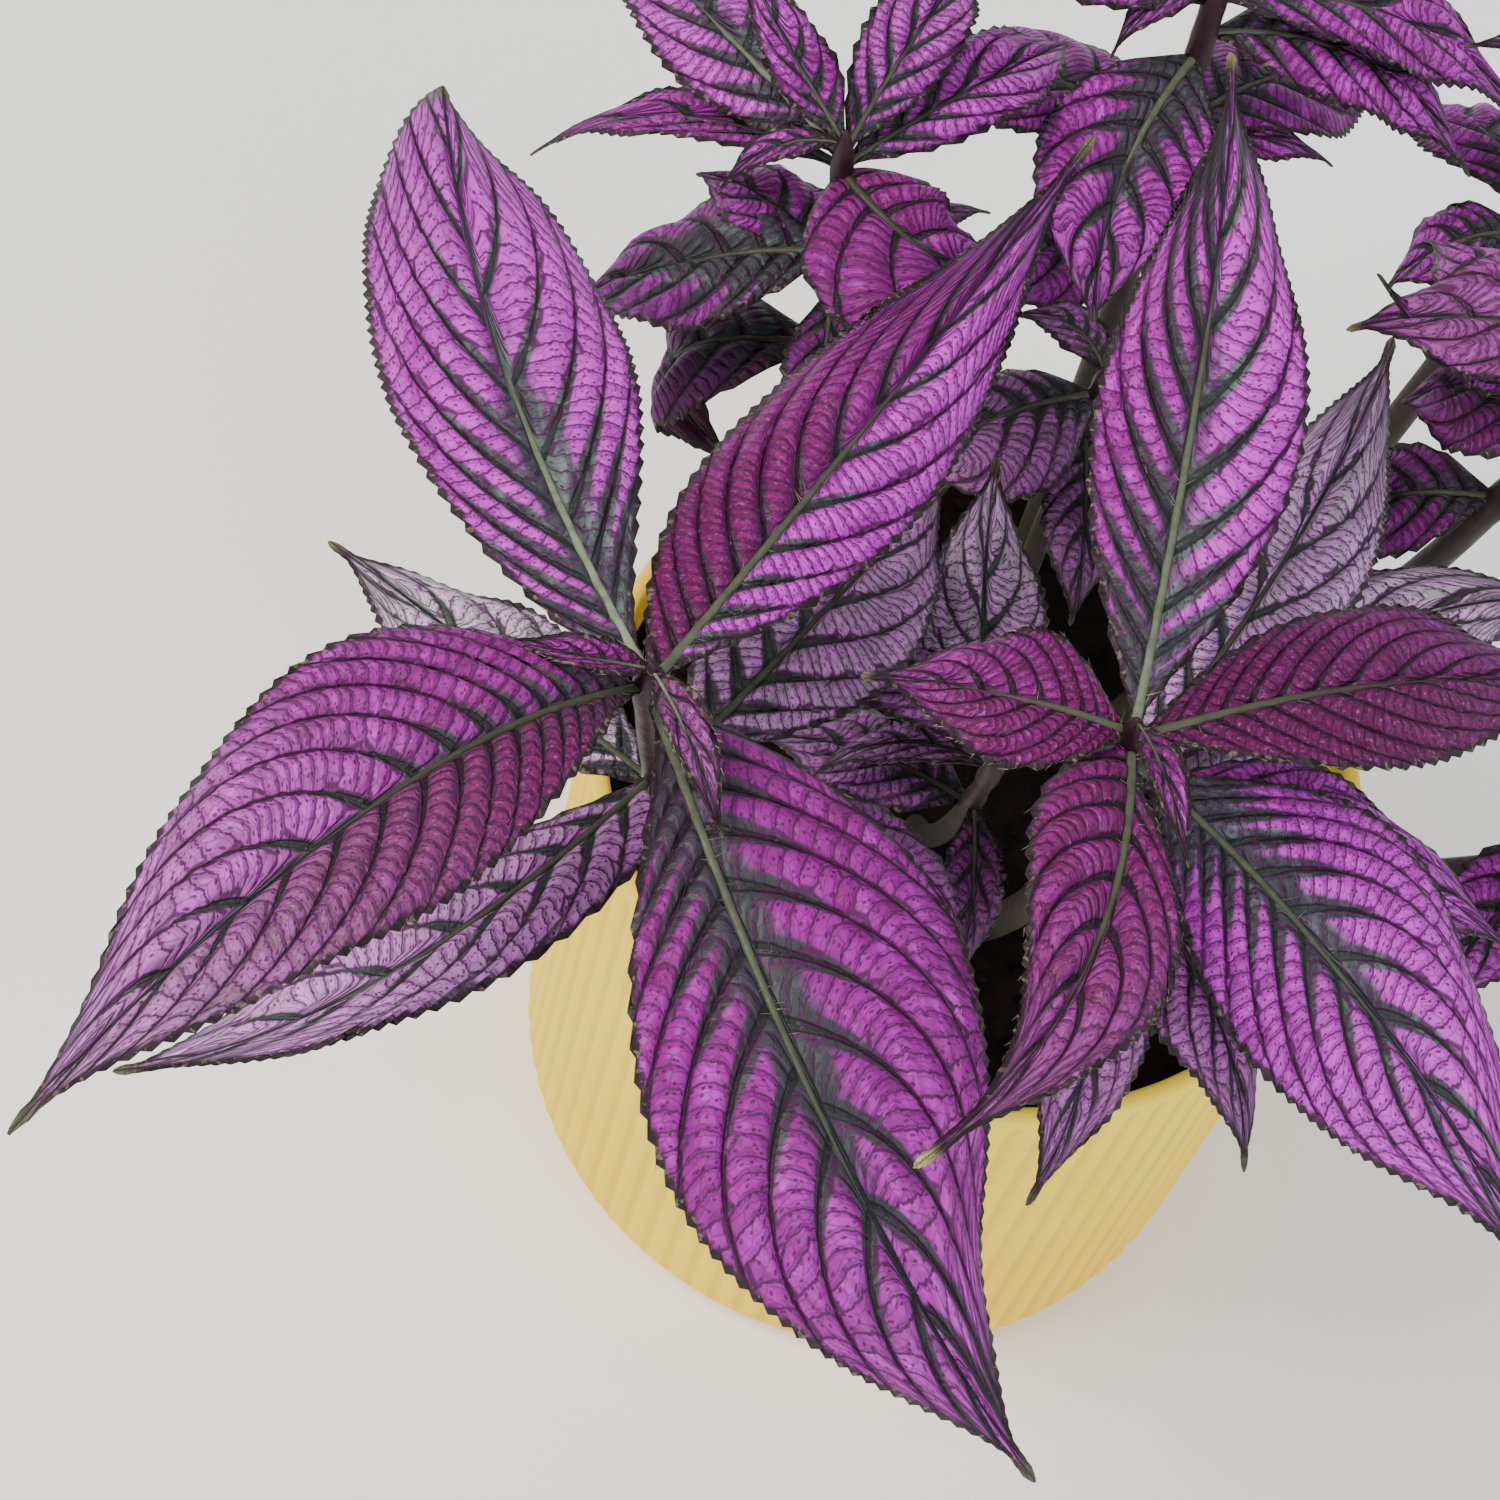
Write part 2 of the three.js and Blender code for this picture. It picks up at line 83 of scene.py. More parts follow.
def feed(tree, socket, value):
    if isinstance(value, bpy.types.NodeSocket):
        tree.links.new(value, socket)
    elif value is not None:
        socket.default_value = value


def addNode(tree, kind, **values):   # a new node, its sockets filled by name
    node = tree.nodes.new("ShaderNode" + kind)
    for name, value in values.items():
        feed(tree, node.inputs[name], value)
    return node


def calc(tree, operation, first, second=None, third=None):
    node = addNode(tree, "Math")
    node.operation = operation
    for socket, value in zip(node.inputs, (first, second, third)):
        feed(tree, socket, value)
    return node.outputs[0]


def ramp(tree, value, low, high, start=0.0, end=1.0):   # smooth step from low to high
    node = addNode(tree, "MapRange")
    node.interpolation_type = "SMOOTHSTEP"
    for name, given in (("Value", value), ("From Min", low), ("From Max", high),
                        ("To Min", start), ("To Max", end)):
        feed(tree, node.inputs[name], given)
    return node.outputs[0]


def plus(tree, first, second):
    return calc(tree, "ADD", first, second)


def minus(tree, first, second):
    return calc(tree, "SUBTRACT", first, second)


def times(tree, first, second):
    return calc(tree, "MULTIPLY", first, second)


def timesPlus(tree, first, second, third):   # first times second, plus third
    return calc(tree, "MULTIPLY_ADD", first, second, third)


def blend(tree, share, first, second):   # colours are sockets or 0 to 255
    node = addNode(tree, "Mix")
    node.data_type = "RGBA"
    feed(tree, node.inputs[0], share)
    for socket, tone in ((node.inputs[6], first), (node.inputs[7], second)):
        feed(tree, socket, paint(*tone) if isinstance(tone, tuple) else tone)
    return node.outputs[2]


def vector(tree, x, y, z=0.0):
    return addNode(tree, "CombineXYZ", X=x, Y=y, Z=z).outputs[0]


def grainNoise(tree, place, scale, detail=2.0, rough=0.5):
    node = addNode(tree, "TexNoise", Vector=place, Scale=scale, Detail=detail, Roughness=rough)
    return node.outputs["Fac"]


def cellNoise(tree, place, feature, loose):
    node = addNode(tree, "TexVoronoi", Vector=place, Scale=1.0, Randomness=loose)
    node.voronoi_dimensions = "2D"
    node.feature = feature
    return node


def readAttribute(tree, name):   # its three parts and its alpha
    node = addNode(tree, "Attribute")
    node.attribute_name = name
    split = addNode(tree, "SeparateXYZ", Vector=node.outputs["Vector"])
    return (*split.outputs, node.outputs["Alpha"])


def objectPlace(tree):
    return addNode(tree, "TexCoord").outputs["Object"]


def dressShader(tree, colour, rough, height=None, depth=mm):   # relief is height times depth
    shader = tree.nodes["Principled BSDF"].inputs
    feed(tree, shader["Base Color"], colour)
    feed(tree, shader["Roughness"], rough)
    if height is None:
        return
    bump = addNode(tree, "Bump", Strength=1.0, Distance=depth, Height=height)
    feed(tree, shader["Normal"], bump.outputs["Normal"])


def newMaterial(name, specular):
    material = bpy.data.materials.new(name)
    material.use_nodes = True
    tree = material.node_tree
    tree.nodes["Principled BSDF"].inputs["Specular IOR Level"].default_value = specular
    return material, tree


# Leaf surface pattern: side veins, cross veins, dots, green zone and margin,
# worked out from places that each leaf stores at its own points
netValues = {
    "ladderStep": 3.2,      # between cross veins
    "ladderHalf": 0.062,    # share of a step
    "dotRate": 2.0,
    "veinHalf": 0.42,
    "veinThin": 0.22,
    "veinFlare": 0.38,      # wider where a side vein leaves the midrib
    "flareReach": 9.0,
    "veinWobble": 0.45,
    "openSpace": 7.5,       # side veins this far apart have their full width
    "crowdedSpace": 3.4,    # closer than this they fade
    "crackShade": 0.42,
    "greenReach": 9.0,      # how far green follows a side vein
    "greenWobble": 5.0,
    "coreHalf": 1.5,        # always green this near the midrib
    "marginWidth": 0.62,
    "marginWobble": 1.1,
    "cellRise": 0.44,       # relief in millimetres
    "veinSink": -0.28,
    "dotSink": -0.06,
    "crackSink": -0.12,
}


def makeNetGroup(values):
    net = bpy.data.node_groups.new("leafNet", "ShaderNodeTree")
    for name in ("Phase", "Run", "Gap", "Edge", "Beyond", "Skew"):
        net.interface.new_socket(name, in_out="INPUT", socket_type="NodeSocketFloat")
    for name in ("Vein", "Ladder", "Dot", "Zone", "Margin", "Height", "Mottle", "Cell", "VeinSideShade", "Far"):
        net.interface.new_socket(name, in_out="OUTPUT", socket_type="NodeSocketFloat")
    given = net.nodes.new("NodeGroupInput").outputs
    result = net.nodes.new("NodeGroupOutput").inputs
    phase, run, space, edge, beyond, skew = (given[i] for i in range(6))
    place = vector(net, times(net, phase, 5.0), run, 0.0)
    wobble = minus(net, grainNoise(net, place, 0.4, 2.0), 0.5)
    mottle = grainNoise(net, place, 0.17, 3.0, 0.6)
    far = calc(net, "ABSOLUTE", run)
    # side veins
    turn = calc(net, "FRACT", plus(net, phase, 0.5))
    part = minus(net, turn, 0.5)
    gap = times(net, calc(net, "ABSOLUTE", part), space)
    loose = timesPlus(net, wobble, values["veinWobble"], gap)
    width = timesPlus(net, far, -0.012, values["veinHalf"])
    width = calc(net, "MAXIMUM", width, values["veinThin"])
    flare = ramp(net, far, 0.0, values["flareReach"], values["veinFlare"], 0.0)
    width = plus(net, width, flare)
    width = times(net, width, ramp(net, space, 0.0, values["openSpace"], 0.18, 1.0))
    vein = ramp(net, minus(net, loose, width), -0.2, 0.22, 1.0, 0.0)
    sparse = ramp(net, space, 0.8, values["crowdedSpace"], 0.3, 1.0)
    vein = times(net, vein, sparse)
    # painted shade: how close a place lies beside a side vein, where the panel is darkened
    shore = times(net, space, 0.13)
    near = ramp(net, minus(net, loose, width), 0.0, shore, 1.0, 0.0)
    # cross veins and the cells between them, stepped anew in each panel
    along = calc(net, "FRACT", phase)
    middle = minus(net, along, 0.5)
    bow = times(net, times(net, middle, middle), -1.2)
    square = timesPlus(net, along, skew, far)
    bent = calc(net, "DIVIDE", square, values["ladderStep"])
    bent = timesPlus(net, calc(net, "FLOOR", phase), 0.37, bent)
    bent = timesPlus(net, calc(net, "SIGN", run), 13.7, bent)
    bent = plus(net, bent, timesPlus(net, wobble, 0.4, bow))
    spot = vector(net, minus(net, phase, 0.3), bent)
    wall = cellNoise(net, spot, "DISTANCE_TO_EDGE", 0.4).outputs["Distance"]
    cell = cellNoise(net, spot, "F1", 0.4).outputs["Color"]
    half = values["ladderHalf"]
    ladder = ramp(net, wall, half * 0.5, half * 1.6, 1.0, 0.0)
    small = vector(net, times(net, phase, 2.1), times(net, bent, 1.7))
    crack = cellNoise(net, small, "DISTANCE_TO_EDGE", 0.8).outputs["Distance"]
    crack = ramp(net, crack, 0.02, 0.075, values["crackShade"], 0.0)
    ladder = calc(net, "MAXIMUM", ladder, crack)
    # dark dots
    speckled = vector(net, times(net, phase, 3.4), times(net, bent, values["dotRate"]))
    dot = cellNoise(net, speckled, "F1", 0.95).outputs["Distance"]
    dot = ramp(net, dot, 0.1, 0.2, 1.0, 0.0)
    # green zone along the midrib, drawn out along the side veins
    follow = ramp(net, gap, 0.2, 2.0, values["greenReach"], 0.0)
    reach = timesPlus(net, wobble, values["greenWobble"], follow)
    zone = ramp(net, minus(net, beyond, reach), -1.6, 1.8, 1.0, 0.0)
    core = ramp(net, far, 0.7, values["coreHalf"], 1.0, 0.0)
    zone = calc(net, "MAXIMUM", zone, core)
    ladder = times(net, ladder, minus(net, 1.0, core))
    ladder = times(net, ladder, sparse)
    # margin
    rim = timesPlus(net, wobble, values["marginWobble"], edge)
    margin = ramp(net, rim, values["marginWidth"] * 0.6, values["marginWidth"] * 1.5, 1.0, 0.0)
    # relief
    height = ramp(net, wall, 0.0, 0.34, 0.0, values["cellRise"])
    marks = ((vein, values["veinSink"]), (dot, values["dotSink"]), (crack, values["crackSink"]))
    for mark, sink in marks:
        height = timesPlus(net, mark, sink, height)
    for socket, value in zip(result, (vein, ladder, dot, zone, margin, height, mottle, cell, near, far)):
        net.links.new(value, socket)
    return net


leafNet = makeNetGroup(netValues)


def placeNet(tree):   # the net's results, and the way to the leaf's edge
    node = addNode(tree, "Group")
    node.node_tree = leafNet
    edgeParts = readAttribute(tree, "leafPlace")
    for i, part in enumerate(readAttribute(tree, "veinPlace")[:3]):
        tree.links.new(part, node.inputs[i])
        tree.links.new(edgeParts[i], node.inputs[3 + i])
    return node.outputs, edgeParts[0]


leafValues = {
    "lilac": (202, 50, 204),
    "purple": (146, 20, 140),
    "magenta": (110, 6, 86),
    "silver": (230, 186, 234),
    "silverGreen": (186, 190, 186),
    "green": (88, 114, 101),
    "greenDark": (40, 58, 49),
    "ladder": (66, 22, 62),
    "vein": (36, 44, 41),
    "veinDark": (34, 14, 28),
    "veinPale": (78, 88, 80),
    "margin": (50, 36, 42),
    "marginPale": (150, 138, 116),
    "glint": (222, 140, 214),
    "tip": (92, 98, 74),
    "tipPale": (196, 178, 118),
    "under": (92, 26, 72),
    "underPale": (62, 30, 56),
    "underNet": (116, 60, 92),
    "underVein": (104, 92, 70),
    "underMargin": (58, 50, 42),
    "stem": (52, 56, 40),
    "stemPurple": (42, 12, 28),
    "stemPale": (140, 152, 124),
    "stemStreak": (46, 42, 34),
    "hair": (170, 160, 130),
    "hairDark": (104, 96, 76),
    "glintGrain": 1700.0,   # noise scales, in metres
    "speckGrain": 900.0,
    "streakGrain": 420.0,
    "glintShare": 0.17,
    "veinSideShadeShare": 0.35,      # painted shade: panels darkened toward the vein colour beside a side vein
    "cellShare": 0.16,
}


def makeLeafTop(values):
    material, tree = newMaterial("leafTop", 0.22)
    net, edge = placeNet(tree)
    vein, ladder, dot, zone, margin, height, mottle, cell, near, far = (net[i] for i in range(10))
    deep, silver, dark, tip = readAttribute(tree, "leafTone")
    place = objectPlace(tree)
    patch = timesPlus(tree, minus(tree, mottle, 0.5), 1.1, deep)
    patch = timesPlus(tree, minus(tree, cell, 0.5), 0.2, patch)
    panel = blend(tree, ramp(tree, patch, 0.0, 0.55), values["lilac"], values["purple"])
    patch = ramp(tree, patch, 0.4, 1.0)
    panel = blend(tree, patch, panel, values["magenta"])
    frost = blend(tree, ramp(tree, mottle, 0.4, 0.62), values["silver"], values["silverGreen"])
    panel = blend(tree, silver, panel, frost)
    # painted shade for leaves that lie in shade, and partly their own darker tone: panels darkened by
    # the dark share
    panel = blend(tree, times(tree, dark, 0.9), panel, values["veinDark"])
    shade = ramp(tree, timesPlus(tree, deep, 0.7, mottle), 0.35, 0.65)
    leafGreen = blend(tree, shade, values["green"], values["greenDark"])
    veinTone = plus(tree, plus(tree, deep, dark), ramp(tree, far, 3.0, 14.0, 0.0, 0.75))
    veinTone = blend(tree, ramp(tree, veinTone, 0.2, 1.0), values["vein"], values["veinDark"])
    veinTone = blend(tree, times(tree, silver, 0.7), veinTone, values["veinPale"])
    panel = blend(tree, ramp(tree, cell, 0.1, 0.9, 0.0, values["cellShare"]), panel, veinTone)
    # painted shade beside the side veins
    panel = blend(tree, times(tree, near, values["veinSideShadeShare"]), panel, veinTone)
    glint = grainNoise(tree, place, values["glintGrain"], 1.0)
    glint = ramp(tree, glint, 0.6, 0.72, 0.0, values["glintShare"])
    panel = blend(tree, times(tree, glint, patch), panel, values["glint"])
    zone = times(tree, zone, ramp(tree, deep, 0.45, 1.1, 0.94, 0.5))
    colour = blend(tree, zone, panel, leafGreen)
    colour = blend(tree, times(tree, ladder, 0.9), colour, values["ladder"])
    colour = blend(tree, times(tree, dot, 0.8), colour, values["ladder"])
    colour = blend(tree, times(tree, vein, 0.95), colour, veinTone)
    colour = blend(tree, margin, colour, values["margin"])
    speck = ramp(tree, grainNoise(tree, place, values["speckGrain"], 1.0), 0.6, 0.68)
    speck = times(tree, speck, ramp(tree, edge, 0.2, 1.1, 0.45, 0.0))
    colour = blend(tree, speck, colour, values["marginPale"])
    tipTone = blend(tree, silver, values["tip"], values["tipPale"])
    colour = blend(tree, tip, colour, tipTone)
    dressShader(tree, colour, timesPlus(tree, mottle, 0.25, 0.36), height)
    return material


def makeLeafUnder(values):
    material, tree = newMaterial("leafUnder", 0.2)
    net = placeNet(tree)[0]
    mottle = net["Mottle"]
    colour = blend(tree, ramp(tree, mottle, 0.3, 0.7), values["under"], values["underPale"])
    colour = blend(tree, times(tree, net["Ladder"], 0.5), colour, values["underNet"])
    colour = blend(tree, times(tree, net["Vein"], 0.8), colour, values["underVein"])
    colour = blend(tree, net["Margin"], colour, values["underMargin"])
    turned = times(tree, net["Height"], -1.0)
    dressShader(tree, colour, timesPlus(tree, mottle, 0.2, 0.5), turned)
    return material


def makeStemSkin(values):   # here leafTone holds the purple share second and the paleness third
    material, tree = newMaterial("stemSkin", 0.25)
    tones = readAttribute(tree, "leafTone")
    streak = grainNoise(tree, objectPlace(tree), values["streakGrain"], 3.0, 0.6)
    colour = blend(tree, tones[1], values["stem"], values["stemPurple"])
    colour = blend(tree, tones[2], colour, values["stemPale"])
    colour = blend(tree, ramp(tree, streak, 0.35, 0.7, 0.0, 0.4), colour, values["stemStreak"])
    dressShader(tree, colour, ramp(tree, streak, 0.2, 0.8, 0.4, 0.62), streak, 0.25 * mm)
    return material


def makeHairSkin(values):
    material, tree = newMaterial("paleHair", 0.4)
    vary = grainNoise(tree, objectPlace(tree), 300.0, 1.0)
    colour = blend(tree, ramp(tree, vary, 0.3, 0.7), values["hair"], values["hairDark"])
    dressShader(tree, colour, ramp(tree, vary, 0.2, 0.8, 0.4, 0.6))
    return material


leafMakers = (makeLeafTop, makeLeafUnder, makeStemSkin, makeHairSkin)
leafMaterials = [make(leafValues) for make in leafMakers]   # faces take them by number
print("leaf and stem materials made")


# Shared curve helpers
def bezier(curve, at):
    start, bend, end = curve
    back = 1 - at
    return start * (back * back) + bend * (2 * at * back) + end * (at * at)


def bezierSlope(curve, at):
    start, bend, end = curve
    return (bend - start) * (2 * (1 - at)) + (end - bend) * (2 * at)


def shareAtHeight(curve, height):   # the stem curve rises all the way
    low, high = 0.0, 1.0
    for i in range(40):
        middle = (low + high) / 2
        if bezier(curve, middle).z < height:
            low = middle
        else:
            high = middle
    return low


def facesOf(verts):
    return list({face for vert in verts for face in vert.link_faces})


def smoothFaces(bm, faces):
    bmesh.ops.recalc_face_normals(bm, faces=faces)
    for face in faces:
        face.smooth = True


def spinProfile(bm, profile, steps):   # profile of radii and heights
    verts = [bm.verts.new((radius * mm, 0, z * mm)) for radius, z in profile]
    edges = [bm.edges.new(pair) for pair in zip(verts, verts[1:])]
    bmesh.ops.spin(bm, geom=verts + edges, cent=(0, 0, 0), axis=(0, 0, 1), angle=tau,
                   steps=steps, use_merge=True, use_duplicate=False)
    bmesh.ops.remove_doubles(bm, verts=bm.verts[:], dist=0.00001)


def newObject(name, bm, materials):
    mesh = bpy.data.meshes.new(name)
    bm.to_mesh(mesh)
    bm.free()
    for material in materials:
        mesh.materials.append(material)
    item = bpy.data.objects.new(name, mesh)
    scene.collection.objects.link(item)
    return item


def finishPiece(name, bm, materials, node):
    piece = newObject(name, bm, materials)
    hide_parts(node)
    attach(piece, "root")
    print("built", name, "with", len(piece.data.polygons), "faces")


# Leaf: one grid laid on the curved, quilted blade, then given its thickness
bladeValues = {
    "usualEnd": (0.42, 0.48),   # widest share and bend, where a leaf row leaves them out
    "thickness": 0.35,
    "rowStep": 0.9,
    "columnStep": 1.6,
    "baseCrowding": 1.36,   # rows stand closer together toward the leaf's base
    "columnCrowding": 1.25,   # columns stand closer together toward the midrib
    "toothRows": 3,
    "toothDepth": 0.7,
    "waveHeight": 1.0,      # the margin's wave, its turns and its shift between the halves
    "waveTurns": 14,
    "waveShift": 1.7,
    "ahead": 0.34,          # how far rows of the grid run forward
    "aheadPower": 1.9,
    "crowd": 0.15,          # side veins leave the midrib at growing steps
    "quilt": 1.5,           # panels between side veins stand up by this
    "droop": 0.32,
    "groove": 0.4,          # the midrib lies this deep
    "ribRadius": 0.66,
    "stalkHalf": 1.0,
    "tipHalf": 0.85,
    "hairLength": 2.6,
    "hairRadius": 0.055,
    "tipFrom": 0.94,        # where the tip's own colour begins
    "greenWidth": 22,       # leaves narrower than this have a narrower green zone
    "spreadWidth": 30,      # and green runs out less along their side veins
    "thinning": 0.45,       # how much thinner side veins are at the tip
}

plainLook = {
    "deep": (0.35, 0.35),   # magenta share left and right of the midrib, partly the leaf's own magenta and partly painted shade on the half turned from the light
    "fade": 0.8,            # how much of it is lost toward the tip
    "silver": 0.0,
    "frost": 0.1,           # silver gained toward the tip
    # dark: panels darkened toward the dark vein colour, painted shade for leaves that lie in shade and
    # partly a leaf's own darker tone
    "dark": 0.0,
    "green": 2.4,           # half width of the green zone
    "greenFrom": 0.12,      # where it has that width
    "bold": 1.0,            # strength of the side veins
    "fine": 1.8,            # fineness of the net
    "rib": 0.8,             # olive share of the midrib
    "hairs": 0,
    "veins": (9.0, 9.0),    # side veins left and right of the midrib
    "start": (0.3, 0.7),    # share of a panel before the first
    "lead": (0.58, 0.5),    # how far forward they run
    "pale": 0.0,            # paleness of the tip
    "quilt": 1.0,
    "cilia": 0,             # hairs on the margin
}


def leafShape(stem, row, values):
    row = row + values["usualEnd"][len(row) - 10:]
    height, turn, reach, rise, arch, sweep, width, bank, fold, taper, peak, lean = row[:12]
    leftPeak, leftShare, rightPeak, rightShare = row[12:16] or (peak, 1, peak, 1)
    base = bezier(stem, shareAtHeight(stem, height))
    angle = radians(turn)
    chord = Vector((cos(angle) * reach, sin(angle) * reach, rise))
    side = Vector((-sin(angle), cos(angle), 0))
    lift = chord.normalized().cross(side)
    bend = base + chord * lean + lift * (2 * arch) + side * (2 * sweep)
    tilt = radians(bank)
    return {
        "curve": (base, bend, base + chord),
        "side": side * cos(tilt) + lift * sin(tilt),
        "width": width,
        "fold": radians(fold),
        "tapers": row[16:] or (taper, taper),
        "peaks": (leftPeak, rightPeak),
        "shares": (leftShare, rightShare),
        "length": chord.length,
    }


def halfWidth(shape, at, across, values):
    which = 0 if across > 0 else 1
    peak, taper = shape["peaks"][which], shape["tapers"][which]
    power = taper * peak / (1 - peak)
    bulge = (at / peak) ** power * ((1 - at) / (1 - peak)) ** taper
    half = shape["width"] / 2 * shape["shares"][which] * bulge
    if at < 0.5:
        return max(half, values["stalkHalf"] * min(1.0, shape["width"] / 12))
    blunt = values["tipHalf"] * min(1.0, shape["width"] / 24)
    return max(half, blunt * sqrt(min(1.0, (1.0002 - at) / 0.02)))


def placeAlong(values, along, across):
    ahead = values["ahead"] * (1 - exp(-along / 0.1)) * (1 - along) ** 0.85
    return min(1.0, along + ahead * abs(across) ** values["aheadPower"])


def leafFrame(shape, at):   # a place on the midrib, its slope there, and the ways left and up
    slope = bezierSlope(shape["curve"], at)
    tangent = slope.normalized()
    side = (shape["side"] - tangent * shape["side"].dot(tangent)).normalized()
    return bezier(shape["curve"], at), slope, side, tangent.cross(side)


def bladePoint(shape, values, at, across, quilt, wave):
    centre, slope, side, lift = leafFrame(shape, at)
    half = halfWidth(shape, at, across, values)
    out = abs(across)
    up = half * (tan(shape["fold"]) * out - values["droop"] * out * out)
    grow = min(1.0, half / 8)
    up += quilt * (1 - out ** 5) * min(1.0, out / 0.2) * grow
    up += wave * out * out * grow
    up -= values["groove"] * exp(-(out * half / 1.0) ** 2) * grow
    return centre + side * (across * half * cos(shape["fold"] * 0.8)) + lift * up, half


def flowBack(lead, at, out):   # share of a place's height at which its side vein left the midrib
    return 1 - lead * (1 - at ** 8) * (0.62 * out + 0.38 * out ** 1.9)


def veinFlow(shape, values, look, at, offset):   # side veins passed by, at a distance from the midrib
    which = 0 if offset > 0 else 1
    out = min(1.0, abs(offset) / halfWidth(shape, at, offset, values))
    root = at * flowBack(look["lead"][which], at, out)
    crowd = values["crowd"]
    passed = log(1 + root / crowd) / log(1 + 1 / crowd)
    return look["veins"][which] * passed + look["start"][which]


def veinRun(shape, values, look, at, across):   # way along the side vein, from the midrib
    out, lead = abs(across), look["lead"][0 if across > 0 else 1]
    root = at * flowBack(lead, at, out)
    total, lastAt, lastOut = 0.0, root, 0.0
    for k in range(1, 5):
        share = out * k / 4
        place = min(at, root / flowBack(lead, lastAt, share))
        sideways = share * halfWidth(shape, place, across, values)
        total += hypot((place - lastAt) * shape["length"], sideways - lastOut)
        lastAt, lastOut = place, sideways
    return total


def addLeaf(bm, layers, stem, row, look, seed, values):
    shape = leafShape(stem, row, values)
    dice = random.Random(seed)
    rows = max(18, int(shape["length"] / values["rowStep"]))
    rows -= rows % values["toothRows"]
    columns = 2 * max(3, round(shape["width"] / 2 / values["columnStep"]))
    verts = bmesh.ops.create_grid(bm, x_segments=rows, y_segments=columns, size=1)["verts"]
    waveTurn = dice.uniform(0, 6.28)
    byRow = {}
    for vert in verts:
        i = round((vert.co.x + 1) / 2 * rows)
        j = round((vert.co.y + 1) / 2 * columns) - columns // 2
        byRow.setdefault(i, {})[j] = vert
    reachOut = columns // 2
    crowding = values["baseCrowding"]
    for i, line in byRow.items():
        along = (i / rows) ** crowding
        tooth = (i % values["toothRows"]) / (values["toothRows"] - 1)
        for j, vert in line.items():
            across = copysign((abs(j) / reachOut) ** values["columnCrowding"], j)
            at = placeAlong(values, along, across)
            half = halfWidth(shape, at, across, values)
            offset = across * half
            phase = veinFlow(shape, values, look, at, offset)
            ahead, behind = min(1.0, at + 0.004), max(0.0, at - 0.004)
            slope = veinFlow(shape, values, look, ahead, offset)
            slope -= veinFlow(shape, values, look, behind, offset)
            slope = max(0.01, slope / ((ahead - behind) * shape["length"]))
            inward = veinFlow(shape, values, look, at, across * half * 0.98) - phase
            inward = max(0.0, inward / max(0.02, 0.02 * abs(offset))) if j else 0.0
            space = 1 / hypot(slope, inward)
            skew = min(2.2, inward / slope) * space
            crest = abs(sin(pi * phase)) ** 0.75 * min(1.0, space / 4.5)
            wave = along * values["waveTurns"] + waveTurn + (values["waveShift"] if j > 0 else 0)
            wave = values["waveHeight"] * sin(wave)
            ridge = values["quilt"] * look["quilt"] * crest
            point, half = bladePoint(shape, values, at, across, ridge, wave)
            if abs(j) == reachOut and 2 < i < rows - 2:
                inner = bladePoint(shape, values, at, across * 0.94, 0, wave)[0]
                outward = (point - inner).normalized()
                point = point + outward * (values["toothDepth"] * tooth * min(1.0, half / 6))
            vert.co = point * mm
            run = copysign(veinRun(shape, values, look, at, across) * look["fine"], j) if j else 0.0
            gap = space / look["bold"] / (1 - values["thinning"] * at * at)
            vert[layers["veinPlace"]] = Vector((phase + seed * 17, run, gap))
            green = look["green"] * min(1.0, shape["width"] / values["greenWidth"])
            green *= min(1.0, at / look["greenFrom"]) * (1 - at) ** 0.5
            green = min(green, half * min(0.8, 0.2 + look["green"] * 0.07))
            spread = min(1.0, shape["width"] / values["spreadWidth"]) * min(1.0, look["green"] / 3)
            spread *= min(1.0, (1 - at) / 0.6)
            beyond = (abs(offset) - green) * look["fine"] + netValues["greenReach"] * (1 - spread)
            edge = (1 - abs(across)) * half
            vert[layers["leafPlace"]] = Vector((edge, beyond, skew * look["fine"]))
            # each half keeps its own magenta share: partly the leaf's own colour, partly painted shade
            # on the half turned from the light
            side = look["deep"][0] if across > 0 else look["deep"][1]
            if j == 0:
                side = (look["deep"][0] + look["deep"][1]) / 2
            deep = side * (1 - look["fade"] * at)
            tip = max(0.0, min(1.0, (at - values["tipFrom"]) / 0.05))
            silver = look["silver"] + look["frost"] * at ** 3
            silver = silver + (look["pale"] - silver) * min(1.0, tip * 3)
            vert[layers["leafTone"]] = (max(0.0, deep), silver, look["dark"], tip)
    faces = facesOf(verts)
    for face in faces:
        face.normal_update()
    if sum(face.normal.z for face in faces) < 0:
        bmesh.ops.reverse_faces(bm, faces=faces)
    edges = list({edge for face in faces for edge in face.edges})
    copied = bmesh.ops.extrude_face_region(bm, geom=faces + edges + verts, use_keep_orig=True)["geom"]
    under = [item for item in copied if isinstance(item, bmesh.types.BMVert)]
    underFaces = [item for item in copied if isinstance(item, bmesh.types.BMFace)]
    for vert in under:
        vert.normal_update()
    for face in underFaces:
        face.material_index = 1
    depth = values["thickness"] * mm
    for vert in under:
        vert.co = vert.co - vert.normal * depth
    shell = facesOf(verts + under)
    smoothFaces(bm, shell)
    for i in range(look["cilia"]):
        line = byRow[dice.randrange(3, int(rows * 0.7))]
        j = reachOut if dice.random() < 0.5 else -reachOut
        foot = line[j].co / mm
        inner = line[j - (1 if j > 0 else -1)].co / mm
        way = (foot - inner).normalized() + Vector([dice.uniform(-0.5, 0.5) for k in range(3)])
        addHair(bm, foot - way * 0.15, way, dice.uniform(0.7, 1.5), 0.05)
    return shape, dice


